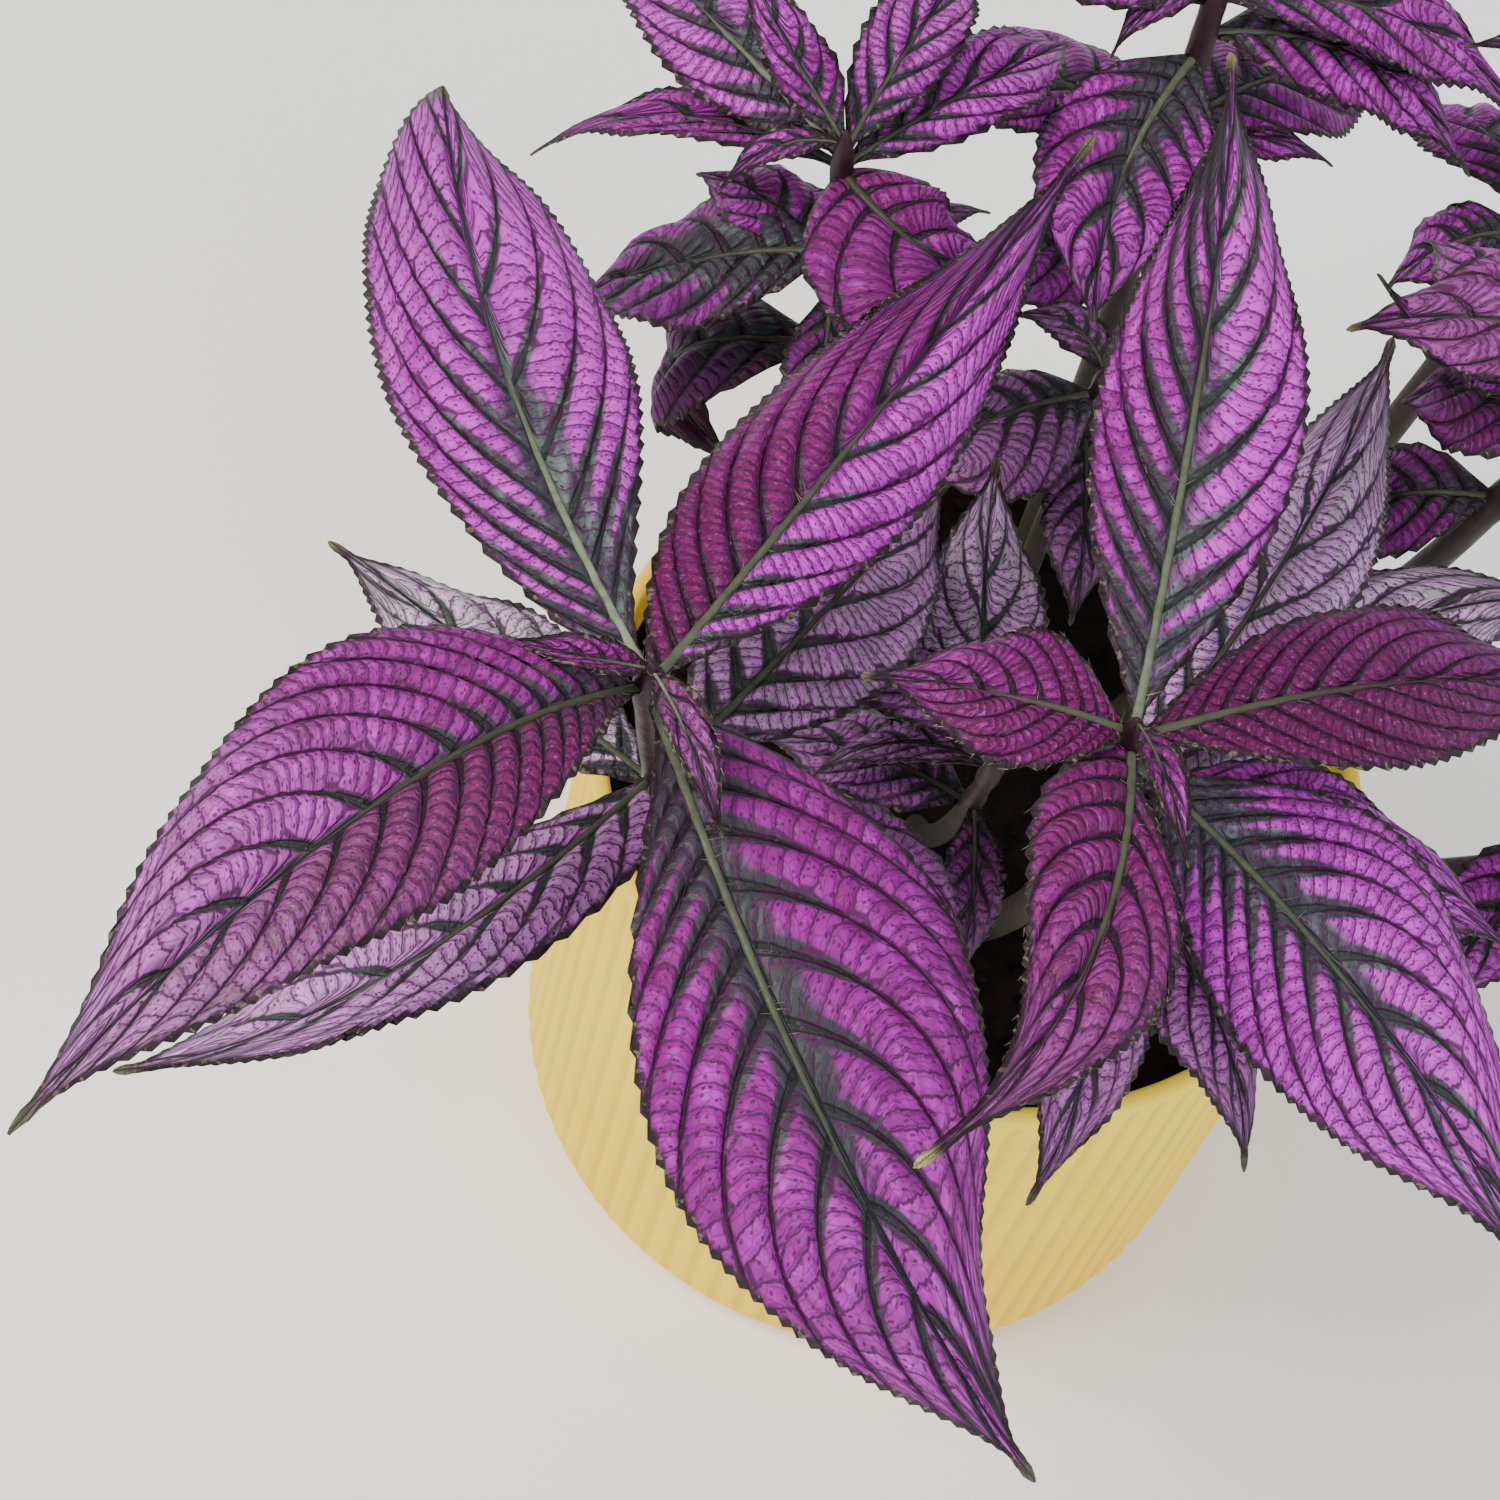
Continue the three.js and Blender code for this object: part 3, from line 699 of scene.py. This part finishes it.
def addTube(bm, layers, centreAt, radiusAt, toneAt, steps, sides):
    verts = bmesh.ops.create_grid(bm, x_segments=steps, y_segments=sides, size=1)["verts"]
    for vert in verts:
        share = (vert.co.x + 1) / 2
        turn = (vert.co.y + 1) * pi
        centre, slope, up = centreAt(share)
        slope = slope.normalized()
        across = slope.cross(up).normalized()
        lift = across.cross(slope)
        radius = radiusAt(share)
        vert.co = (centre + across * (cos(turn) * radius) + lift * (sin(turn) * radius)) * mm
        vert[layers["leafTone"]] = toneAt(share)
    bmesh.ops.remove_doubles(bm, verts=verts, dist=0.00002)
    verts = [vert for vert in verts if vert.is_valid]
    ends = list({edge for vert in verts for edge in vert.link_edges if edge.is_boundary})
    bmesh.ops.holes_fill(bm, edges=ends, sides=sides + 2)
    faces = facesOf(verts)
    smoothFaces(bm, faces)
    for face in faces:
        face.material_index = 2


def addHair(bm, foot, way, length, radius):
    turned = way.to_track_quat("Z", "Y").to_matrix().to_4x4()
    place = Matrix.Translation((foot + way.normalized() * (length / 2)) * mm) @ turned
    hair = bmesh.ops.create_cone(bm, cap_ends=False, segments=3, radius1=radius * mm,
                                 radius2=radius * 0.15 * mm, depth=length * mm, matrix=place)["verts"]
    for face in facesOf(hair):
        face.material_index = 3


def addRib(bm, layers, shape, look, dice, values):
    strong = min(1.0, shape["width"] / 26)

    def centreAt(share):
        centre, slope, side, lift = leafFrame(shape, share * 0.9)
        sink = min(1.0, max(0.0, (share - 0.3) / 0.4))
        drop = 0.2 * radiusAt(share) + sink * (radiusAt(share) + values["groove"])
        return centre - lift * drop, slope, lift

    def radiusAt(share):
        return values["ribRadius"] * strong * (1 - share) ** 0.9 + 0.16

    def toneAt(share):
        pale = (1 - look["rib"]) * max(0.0, 1 - share * 1.4)
        return (1.0, look["dark"], pale, 1.0)

    addTube(bm, layers, centreAt, radiusAt, toneAt, 24, 8)
    for i in range(look["hairs"]):
        share = dice.uniform(0.02, 0.55) ** 1.3
        centre, slope, lift = centreAt(share)
        across = slope.normalized().cross(lift)
        sign = -1 if i % 2 else 1
        foot = centre + across * (sign * radiusAt(share) * 0.8) + lift * radiusAt(share) * 0.4
        way = across * sign + lift * dice.uniform(0.3, 1.0)
        way += slope.normalized() * dice.uniform(-0.2, 0.7)
        addHair(bm, foot, way, values["hairLength"] * dice.uniform(0.4, 1.0), values["hairRadius"])


def makeShoot(name, node, shoot, seed):
    bm = bmesh.new()
    layers = {
        "veinPlace": bm.verts.layers.float_vector.new("veinPlace"),
        "leafPlace": bm.verts.layers.float_vector.new("leafPlace"),
        "leafTone": bm.verts.layers.float_color.new("leafTone"),
    }
    *stem, footThick, topThick = shoot["stem"]
    stem = [Vector(point) for point in stem]
    leaves = [leaf for name, leaf in shoot.items() if name not in ("stem", "look")]
    heights = [shareAtHeight(stem, row[0]) for row, look in leaves]

    def centreAt(share):
        slope = bezierSlope(stem, share)
        return bezier(stem, share), slope, Vector((0, 1, 0))

    def radiusAt(share):
        knot = max(exp(-((share - at) / 0.02) ** 2) for at in heights)
        closing = sqrt(max(0.02, min(1.0, (1 - share) / 0.04)))
        return (footThick + (topThick - footThick) * share + 0.35 * knot) * closing

    def toneAt(share):
        return (1.0, 0.25 + 0.75 * share, 0.08 * (1 - share), 1.0)

    addTube(bm, layers, centreAt, radiusAt, toneAt, 70, 12)
    for order, (row, look) in enumerate(leaves):
        look = {**plainLook, **shoot.get("look", {}), **look}
        for part in ("deep", "veins"):   # one number stands for both halves
            if not isinstance(look[part], tuple):
                look[part] = (look[part], look[part])
        shape, dice = addLeaf(bm, layers, stem, row, look, seed * 20 + order, bladeValues)
        addRib(bm, layers, shape, look, dice, bladeValues)
    finishPiece(name, bm, leafMaterials, node)


# Pot: a ribbed wall of revolution with a plain rounded rim and foot
potValues = {
    "height": 111.0,
    "rimRadius": 66.5,
    "footRadius": 64.5,
    "footRounding": 9.0,
    "wall": 3.0,
    "floor": 6.0,
    "floorRounding": 4.0,
    "rimRounding": 1.4,
    "wallSteps": 14,
    "ribs": 80,
    "ribDepth": 0.8,
    "light": (251, 217, 60),
    "warm": (242, 190, 46),
    # painted shade for the grooves between ribs
    "groove": (194, 144, 48),
    "grain": (190, 152, 60),
}


def makePotClay(values):
    material, tree = newMaterial("potClay", 0.2)
    place = objectPlace(tree)
    cloud = grainNoise(tree, place, 14.0, 3.0, 0.5)
    grain = grainNoise(tree, place, 1400.0, 2.0, 0.6)
    colour = blend(tree, ramp(tree, cloud, 0.35, 0.65, 0.0, 0.5), values["light"], values["warm"])
    colour = blend(tree, ramp(tree, grain, 0.55, 0.8, 0.0, 0.2), colour, values["grain"])
    x, y, z = addNode(tree, "SeparateXYZ", Vector=place).outputs
    # painted shade: the colour darkens in the groove between each pair of ribs
    turn = calc(tree, "ARCTAN2", y, x)
    groove = calc(tree, "COSINE", times(tree, turn, float(values["ribs"])))
    top = values["height"]
    below = ramp(tree, z, (top - 3.5) * mm, (top - 5) * mm)   # grooves end under the rim
    groove = times(tree, ramp(tree, groove, -1.0, 0.2, 0.3, 0.0), below)
    colour = blend(tree, groove, colour, values["groove"])
    dressShader(tree, colour, ramp(tree, cloud, 0.2, 0.8, 0.62, 0.74), grain, 0.12 * mm)
    return material


def makePot(values):
    bm = bmesh.new()
    height, rim = values["height"], values["rimRadius"]
    foot, rounding = values["footRadius"], values["footRounding"]

    def outer(z):
        return foot + (rim - foot) * z / height

    profile = [(0, 0.0), (foot - rounding, 0.0)]
    for i in range(1, 7):
        angle = i / 6 * pi / 2
        z = rounding * (1 - cos(angle))
        profile.append((outer(z) - rounding * (1 - sin(angle)), z))
    steps, lip, wall = values["wallSteps"], values["rimRounding"], values["wall"]
    top = height - lip
    for i in range(1, steps + 1):
        z = rounding + (top - rounding) * i / steps
        profile.append((outer(z), z))
    for i in range(1, 9):
        angle = i / 8 * pi
        inward = (wall - 2 * lip) * (i / 8)
        profile.append((rim - lip + cos(angle) * lip - inward, top + sin(angle) * lip))
    floor, bend = values["floor"], values["floorRounding"]
    profile.append((outer(floor + bend) - wall, floor + bend))
    profile.append((outer(floor) - wall - bend, floor))
    profile.append((0, floor))
    spinProfile(bm, profile, values["ribs"] * 6)
    ribFoot, ribTop = rounding * 0.5, height - lip * 3
    for vert in bm.verts:
        radius = hypot(vert.co.x, vert.co.y) / mm
        z = vert.co.z / mm
        if radius < outer(z) - wall * 0.5 or radius < 1:
            continue
        strength = min(1, max(0, (z - ribFoot) / 5)) * min(1, max(0, (ribTop + 3 - z) / 3))
        turn = atan2(vert.co.y, vert.co.x) * values["ribs"]
        cut = values["ribDepth"] * strength * (0.5 - 0.5 * cos(turn))
        vert.co.x *= (radius - cut) / radius
        vert.co.y *= (radius - cut) / radius
    smoothFaces(bm, bm.faces[:])
    finishPiece("pot_wall", bm, (makePotClay(values),), "pot")


makePot(potValues)


# Soil: a heaved, crumbly top on a plain plug
soilValues = {
    "top": 99.0,
    "bottom": 6.3,
    "radius": 62.9,
    "heave": 2.0,
    "rings": 56,
    "around": 180,
    "lumps": ((0.09, 1.3), (0.35, 0.9), (1.1, 0.5)),   # rate and height of each roughness
    "crumbs": 260,
    "dark": (9, 7, 7),
    "light": (28, 21, 18),
    "bark": (58, 45, 35),
}


def makeSoilSkin(values):
    material, tree = newMaterial("soilSkin", 0.1)
    place = objectPlace(tree)
    coarse = grainNoise(tree, place, 160.0, 5.0, 0.65)
    fine = grainNoise(tree, place, 900.0, 3.0, 0.6)
    colour = blend(tree, ramp(tree, coarse, 0.3, 0.7), values["dark"], values["light"])
    colour = blend(tree, ramp(tree, fine, 0.64, 0.74, 0.0, 0.5), colour, values["bark"])
    height = timesPlus(tree, fine, 0.4, coarse)
    dressShader(tree, colour, ramp(tree, coarse, 0.2, 0.8, 0.75, 0.95), height, 0.8 * mm)
    return material


def makeSoil(values):
    bm = bmesh.new()
    dice = random.Random(5)
    radius, top, bottom, rings = (values[name] for name in ("radius", "top", "bottom", "rings"))
    profile = [(radius * i / rings, top) for i in range(rings + 1)]
    spinProfile(bm, profile + [(radius - 8, bottom), (0, bottom)], values["around"])
    for vert in bm.verts:
        if vert.co.z < top * mm * 0.9:
            continue
        spot = vert.co / mm
        share = hypot(spot.x, spot.y) / radius
        lump = sum(noise.noise(spot * rate) * size for rate, size in values["lumps"])
        heave = values["heave"] * (1 - share * share)
        vert.co.z += (heave + lump * min(1.0, (1 - share) * 9)) * mm
    for i in range(values["crumbs"]):
        angle = dice.uniform(0, tau)
        reach = sqrt(dice.uniform(0, 1)) * (radius - 3)
        size = dice.uniform(0.7, 2.0)
        spot = Vector((cos(angle) * reach, sin(angle) * reach, top))
        share = reach / radius
        spot.z += values["heave"] * (1 - share * share) + size * 0.3
        place = Matrix.Translation(spot * mm)
        crumb = bmesh.ops.create_icosphere(bm, subdivisions=2, radius=size * mm, matrix=place)["verts"]
        for vert in crumb:
            way = vert.co - spot * mm
            rough = 0.75 + 0.5 * noise.noise(vert.co / mm * 0.9)
            vert.co = spot * mm + Vector((way.x * rough * 1.2, way.y * rough, way.z * rough * 0.8))
    smoothFaces(bm, bm.faces[:])
    finishPiece("soil_top", bm, (makeSoilSkin(values),), "soil")


makeSoil(soilValues)


# Shoots. A leaf is a row and a look of its own, on top of its shoot's look and the plain one.
# The stem is a curve from foot by bend to top, and then the radius at both ends.
# The row is: height on the stem, turn, reach, rise, arch, sweep to the left, full width, bank,
# fold, taper, widest share, and the share at which its curve bends. Four more are the widest
# share and the width share of the left half, then of the right half, and two more are their tapers.
frontLeftShoot = {   # the large rosette nearest the camera
    "stem": ((-14, -26, 97), (-47, -80, 178), (-53, -92, 256), 3.6, 2.0),
    "a1": ((250, 118.8, 125.6, -37.3, 5, 6.5, 35.3, 0, 16, 1.11, 0.44, 0.4, 0.519, 0.971, 0.537, 1.029,
        0.769, 1.451), dict(deep=(0.2, 0.05), green=4.8, rib=0.0, veins=(11.4, 9.2),
        start=(0.24, 0.59), lead=(0.63, 0.67), fine=1.0, bold=0.9, dark=0.05, greenFrom=0.26)),
    "a2": ((249, 75.2, 134.4, -22.8, 5, -1.811, 27.5, 4, 9, 1.961, 0.36, 0.4, 0.334, 1.056, 0.412,
        0.944), dict(deep=(1.15, 0.15), fade=0.75, rib=0.75, hairs=30, quilt=1.25, cilia=20,
        veins=(12.7, 11.3), start=(0.04, 0.83), lead=(0.6, 0.47), fine=1.6, bold=0.85, pale=0.4)),
    "a3": ((248, -123.5, 100.2, -9, 18, -1.697, 38.3, 6, 20, 1.591, 0.39, 0.4, 0.497, 0.859, 0.433,
        1.143), dict(deep=(1.6, 0.7), rib=0.9, hairs=16, quilt=1.15, cilia=30, veins=(20, 16.4),
        start=(0.02, 0.29), lead=(0.33, 0.47), fine=1.55, bold=0.8, frost=0.5, dark=0.1)),
    "a4": ((246, -40.7, 105.9, -42.5, 15.7, -10.6, 50.9, 0, 13, 1.967, 0.42, 0.57, 0.329, 1.162, 0.46,
        0.841), dict(deep=(0.62, 0.66), fade=0.6, green=5.8, rib=0.7, hairs=36, cilia=16,
        veins=(11.3, 14.6), start=(0.24, 0.56), lead=(0.69, 0.44), fine=1.1, bold=1.1, greenFrom=0.3,
        dark=0.1)),
    "a5": ((216, -138.7, 78, -38.4, 8.4, 10.6, 20.1, 8, 12, 1.595, 0.44, 0.57, 0.241, 0.901, 0.44,
        1.096), dict(deep=0.1, silver=0.4, green=1.6, fine=1.6, frost=0.3)),
    "a6": ((204, 150, 70, -22, 4, 2, 22, 0, 14, 1.9, 0.44), dict(silver=0.95, pale=0.3, veins=8)),
    "a7": ((254, -49, 24, -4, 3, 0, 7, 0, 40, 1.6, 0.4), dict(deep=0.8, fade=0.3, rib=0.2, hairs=12,
        veins=4, silver=0.1, cilia=24, green=0.0, fine=1.6, bold=0.35, quilt=0.4, dark=0.1)),
    "a8": ((254, -168, 20, 2, 3, 2, 6, 0, 40, 1.6, 0.4), dict(deep=0.9, rib=0.6, hairs=12, veins=7.5,
        cilia=16, green=0.4, fine=2.2, bold=0.7)),
    "a9": ((212, 72, 82, -22, 8, -2, 28, 0, 14, 1.8, 0.44), dict(silver=0.5, dark=0.1)),
    "a10": ((196, -20, 60, -36, 8, 8, 34, 0, 12, 1.5), dict(silver=0.15, dark=0.4)),
}
makeShoot("front_left_shoot", "shoot_front_left", frontLeftShoot, 0)


frontRightShoot = {   # the second large rosette
    "stem": ((6, -24, 97), (17, -56, 167), (10, -68, 243), 3.0, 1.7),
    "b1": ((239, 96, 124.2, -5.1, 11.7, -0.29, 29.5, 0, 14, 2.5, 0.36, 0.57, 0.327, 0.93, 0.35, 1.07),
        dict(deep=(0.45, 0.0), fade=0.5, rib=0.6, hairs=16, veins=(12.8, 10), start=(0.43, 0.1),
        lead=(0.54, 0.54), fine=1.1, bold=1.1, greenFrom=0.16, pale=0.6, green=2.9)),
    "b2": ((236, 35, 79, -20, 11, -1, 26, 0, 18, 1.7), dict(deep=(1.05, 1.3), fade=0.5, dark=0.4,
        rib=0.85, hairs=8, veins=14, cilia=30, green=0.8, fine=1.9, bold=0.8)),
    "b3": ((238, 180, 37, -8, 6, 2, 22, 0, 20, 2.1, 0.4), dict(deep=(1.1, 0.9), fade=0.45, dark=0.1,
        hairs=8, veins=11, pale=0.7, cilia=30, green=0.6, fine=2.2, bold=0.7)),
    "b4": ((235, -99.4, 75.3, 7, 5, 8.1, 24.4, 0, 18, 2.46, 0.36, 0.57, 0.459, 0.913, 0.24, 1.085),
        dict(deep=(0.95, 0.9), fade=0.35, dark=0.1, rib=0.75, hairs=20, veins=(9, 10), pale=1.0,
        cilia=24, green=1.2, fine=1.4, bold=0.9, frost=0.25)),
    "b5": ((230, -21.2, 96.3, -53.1, 5, 2.815, 43.8, 0, 14, 2.354, 0.42, 0.4, 0.443, 1.089, 0.432,
        0.913), dict(deep=(0.15, 0.25), green=4.4, rib=0.75, hairs=14, veins=(12.8, 15.2),
        start=(0.7, 0.9), lead=(0.7, 0.5), fine=1.25, bold=1.1, frost=0.15, greenFrom=0.3, dark=0.05)),
    "b6": ((206, 77, 114, -16, 9, -4, 25, 0, 14, 1.9, 0.44), dict(deep=0.1, silver=0.65, green=1.6)),
    "b7": ((200, -78, 44, -36, 6, 4, 18, 0, 14, 1.7, 0.44), dict(silver=0.25, dark=0.25, veins=10)),
    "b8": ((242, -57, 22, -1, 3, 0, 6, 0, 36, 1.6, 0.4), dict(deep=0.9, hairs=10, veins=6.5)),
    "b9": ((196, -34, 47, -34, 8, 2, 19, 0, 14, 1.7, 0.44), dict(silver=0.25, dark=0.3, veins=10)),
    "b10": ((192, 50, 104, -14, 12, 6, 27, 0, 14, 1.7, 0.44), dict(silver=0.85, veins=8)),
    "b11": ((212, 10, 66, -22, 9, 0, 24, 0, 14, 1.6), {}),
}
makeShoot("front_right_shoot", "shoot_front_right", frontRightShoot, 1)


middleShoot = {   # a young shoot between the two
    "stem": ((-7, -8, 97), (-4, -44, 148), (-3, -52, 198), 2.2, 1.4),
    "look": dict(silver=0.25, dark=0.35, veins=8),
    "f1": ((188, 105, 51, 8, 3, 2, 20, 0, 18, 1.7), dict(silver=0.7, dark=0.12, green=1.6)),
    "f2": ((195, 172, 38, -15, 7, -6, 14, 0, 20, 1.8), dict(silver=0.35, rib=1.0, hairs=12, veins=9,
        pale=0.3, cilia=24)),
    "f3": ((192, -179, 25, -20, 4, -3, 8, 0, 24, 1.7), dict(silver=0.3, dark=0.3, rib=1.0, veins=6.5,
        pale=0.5)),
    "f4": ((176, -70, 20, -22, 5, 0, 10, 0, 16, 1.7), dict(silver=0.1, dark=0.75, veins=6)),
    "f5": ((172, 165, 34, -16, 5, 0, 17, 0, 14, 1.6), {}),
}
makeShoot("middle_shoot", "shoot_middle", middleShoot, 2)


innerShoot = {   # a short shoot behind it
    "stem": ((-3, 8, 97), (-5, 14, 149), (-4, 22, 197), 2.4, 1.4),
    "look": dict(silver=0.3, dark=0.55, veins=7.5),
    "g1": ((194, 156, 19, -4, 3, -3, 9, 0, 20, 1.7), {}),
    "g2": ((190, -150, 30, -17, 5, 0, 24, 0, 16, 1.6, 0.42, 0.48, 0.42, 1.3, 0.42, 0.7), {}),
    "g3": ((182, -70, 24, -20, 5, 0, 14, 0, 16, 1.7), {}),
    "g4": ((178, 20, 34, -16, 5, 0, 18, 0, 16, 1.7), {}),
}
makeShoot("inner_shoot", "shoot_inner", innerShoot, 3)


backLeftShoot = {   # the smaller rosette at the top left
    "stem": ((-18, 2, 97), (-44, 14, 157), (-53, 15, 238), 2.6, 1.4),
    "look": dict(deep=0.5, dark=0.2, green=3.0, veins=6.5),
    "c1": ((232, 136, 66, -18, 6, 4, 22, 0, 14, 1.7), dict(deep=(0.2, 0.1), dark=0.0, silver=0.05,
        veins=7.5, rib=0.0, green=4.6, frost=0.05)),
    "c2": ((230, 168, 48, -34, 8, -1, 11, 0, 24, 1.9), {}),
    "c3": ((235, 138, 31, 8, 3, 2, 11, 0, 28, 1.7), {}),
    "c4": ((233, 80, 55, -9, 5, 0, 15, 0, 28, 1.7), dict(deep=(0.25, 0.4), dark=0.05, silver=0.05,
        veins=7)),
    "c5": ((230, 62, 56, -15, 6, -2, 18, 0, 28, 1.5, 0.46), dict(deep=(0.4, 0.3), dark=0.05, veins=7)),
    "c6": ((235, -149, 18, -9, 3, -2, 6, 0, 28, 1.9), {}),
    "c7": ((211, -172, 36, -25, 4, 0, 24, 0, 12, 1.2, 0.46), dict(deep=0.2, dark=0.6, green=10.0,
        veins=7, fine=1.5, fade=0.3)),
    "c8": ((206, 150, 29, -6, 4, -1, 17, 0, 14, 1.4, 0.44), dict(deep=(0.5, 0.4), dark=0.35,
        green=3.4)),
    "c9": ((229, -4, 29, -9, 4, -7, 25, 4, 14, 1.1, 0.4, 0.48, 0.34, 0.85, 0.42, 1.4), dict(deep=0.8,
        fade=0.6, dark=0.1, veins=5.5, green=0.8, fine=1.6, bold=0.8, pale=0.3, rib=1.0)),
    "c10": ((202, 45, 40, -16, 6, -3, 14, 0, 14, 1.6), {}),
    "c11": ((204, 62, 42, -18, 4, 2, 9, 0, 14, 1.6), {}),
    "c12": ((190, 185, 9, -38, 19, 0, 24, 0, 12, 1.3, 0.44), dict(deep=0.7, dark=0.85, veins=6)),
    "c13": ((204, -72, 13, -30, 4, 0, 12, 0, 14, 1.6), dict(dark=0.6)),
    "c14": ((142, 172, 26, 8, 3, 4, 12, 0, 14, 1.6), dict(dark=0.6)),
}
makeShoot("back_left_shoot", "shoot_back_left", backLeftShoot, 4)


backMiddleShoot = {   # the rosette at the top edge
    "stem": ((-4, 25, 97), (-3, 55, 167), (-8, 61, 245), 3.0, 1.6),
    "look": dict(deep=0.45, dark=0.2, green=3.2, veins=7.5),
    "d1": ((228, -93, 32, -30, 9, -4, 28, 0, 12, 1.4, 0.44), dict(deep=(0.42, 0.5), dark=0.15,
        green=4.4, rib=0.7, veins=8)),
    "d2": ((232, 9, 48, -20, 7, 4, 20, 0, 14, 1.5, 0.44), {}),
    "d3": ((241, -138, 16, -10, 3, -2, 6, 0, 20, 1.9), {}),
    "d4": ((239, 18, 60, -28, 8, 4, 20, 0, 18, 1.7), {}),
    "d5": ((208, 28, 30, -8, 5, 0, 8, 0, 14, 1.7), {}),
    "d6": ((190, -162, 24, -14, 5, 2, 23, 0, 12, 1.4, 0.44), dict(dark=0.5)),
    "d7": ((242, 112, 58, -16, 9, 4, 24, 0, 16, 1.7), {}),
    "d8": ((238, 165, 50, -14, 8, 4, 22, 0, 16, 1.7), {}),
    "d9": ((212, 60, 58, -38, 9, 0, 26, 0, 12, 1.6, 0.44), {}),
    "d10": ((208, 150, 56, -40, 9, 0, 26, 0, 12, 1.6, 0.44), {}),
}
makeShoot("back_middle_shoot", "shoot_back_middle", backMiddleShoot, 5)


rightShoot = {   # the shoot at the right edge
    "stem": ((14, 8, 97), (58, 21, 153), (66, 26, 235), 3.4, 1.8),
    "look": dict(deep=0.5, dark=0.35, green=3.0, veins=7.5),
    "e1": ((230, 182, 39, -10, 6, -1, 24, 0, 18, 1.7), dict(deep=(0.62, 0.56), fade=0.3, dark=0.3,
        silver=0.1, rib=0.7, veins=7, green=1.2, fine=1.6, bold=0.7, quilt=0.6, frost=0.0, pale=0.6)),
    "e2": ((222, 178, 37, 10, -6, 0, 10, 0, 24, 1.8), {}),
    "e3": ((214, 172, 24, -11, 6, 0, 25, 0, 12, 1.5, 0.44), dict(deep=0.9, dark=0.7)),
    "e4": ((195, -170, 30, -22, 6, 0, 20, 0, 12, 1.5, 0.44), dict(deep=0.7, dark=0.4)),
    "e5": ((214, 124, 46, -14, 8, 0, 22, 0, 12, 1.6, 0.44), {}),
    "e6": ((230, 50, 66, -18, 11, 4, 28, 0, 16, 1.7), {}),
    "e7": ((228, -10, 72, -24, 11, -4, 30, 0, 16, 1.7), {}),
    "e8": ((210, 10, 60, -38, 8, 0, 26, 0, 12, 1.6, 0.44), {}),
}
makeShoot("right_shoot", "shoot_right", rightShoot, 6)


farRightShoot = {   # a low shoot leaning out to the right
    "stem": ((17, -8, 97), (76, -24, 153), (104, -26, 208), 3.4, 1.8),
    "look": dict(deep=0.4, dark=0.15, green=3.2, veins=8),
    "h1": ((186, -125, 26, -34, 7, -5, 18, 0, 14, 1.7), {}),
    "h2": ((205, 150, 38, -6, 6, 0, 18, 0, 18, 1.7), {}),
    "h3": ((204, -40, 58, -30, 10, 4, 28, 0, 16, 1.7), {}),
    "h4": ((200, 50, 66, -28, 11, -4, 30, 0, 14, 1.7), {}),
    "h5": ((206, -100, 52, -28, 9, 0, 24, 0, 16, 1.7), {}),
    "h6": ((207, 10, 22, 2, 3, 0, 8, 0, 32, 1.6), {}),
    "h7": ((184, -8, 54, -40, 8, 0, 26, 0, 12, 1.6, 0.44), {}),
}
makeShoot("far_right_shoot", "shoot_far_right", farRightShoot, 7)


backRightShoot = {   # a shoot behind it
    "stem": ((19, 20, 97), (51, 54, 159), (58, 86, 226), 3.2, 1.8),
    "look": dict(deep=0.4, dark=0.25, green=3.2, veins=8),
    "k1": ((224, 10, 58, -22, 9, 4, 26, 0, 16, 1.7), {}),
    "k2": ((223, 100, 66, -26, 10, -4, 28, 0, 14, 1.7), {}),
    "k3": ((225, -160, 28, 5, 4, 0, 10, 0, 26, 1.7), {}),
    "k4": ((225, 55, 30, 2, 5, 0, 12, 0, 26, 1.7), {}),
    "k5": ((200, 60, 60, -38, 9, 0, 28, 0, 12, 1.6, 0.44), {}),
    "k6": ((200, 115, 46, -34, 8, 0, 22, 0, 12, 1.6, 0.44), {}),
    "k7": ((198, -155, 20, -14, 6, 0, 15, 0, 12, 1.6, 0.44), {}),
}
makeShoot("back_right_shoot", "shoot_back_right", backRightShoot, 8)


# Room: a plain pale floor, a soft key light from the left and a pale sky
roomValues = {
    "floorTone": (250, 250, 250),
    "floorCloud": (240, 240, 243),
    "sky": (240, 242, 246),
    "skyStrength": 0.94,
    "key": {"place": (-900, -500, 1500), "size": 900, "power": 32.5, "tone": (255, 250, 242)},
    "fill": {"place": (900, -700, 900), "size": 1200, "power": 10.0, "tone": (242, 246, 255)},
}


def makeFloor(values):
    bm = bmesh.new()
    bmesh.ops.create_grid(bm, x_segments=8, y_segments=8, size=4.0)
    material, tree = newMaterial("paleFloor", 0.2)
    cloud = ramp(tree, grainNoise(tree, objectPlace(tree), 6.0, 2.0), 0.3, 0.7, 0.0, 0.05)
    dressShader(tree, blend(tree, cloud, values["floorTone"], values["floorCloud"]), 0.9)
    floor = newObject("paleFloor", bm, (material,))


def makeLight(name, values):
    data = bpy.data.lights.new(name, "AREA")
    data.shape = "DISK"
    data.size = values["size"] * mm
    data.energy = values["power"]
    data.color = paint(*values["tone"])[:3]
    lamp = bpy.data.objects.new(name, data)
    scene.collection.objects.link(lamp)
    place = Vector(values["place"]) * mm
    aim = Vector((0, 0, 0.15)) - place
    lamp.matrix_world = Matrix.Translation(place) @ aim.to_track_quat("-Z", "Y").to_matrix().to_4x4()


def makeSky(values):
    world = bpy.data.worlds.new("paleSky")
    world.use_nodes = True
    back = world.node_tree.nodes["Background"]
    back.inputs["Color"].default_value = paint(*values["sky"])
    back.inputs["Strength"].default_value = values["skyStrength"]
    scene.world = world


makeFloor(roomValues)
makeLight("keyLight", roomValues["key"])
makeLight("fillLight", roomValues["fill"])
makeSky(roomValues)
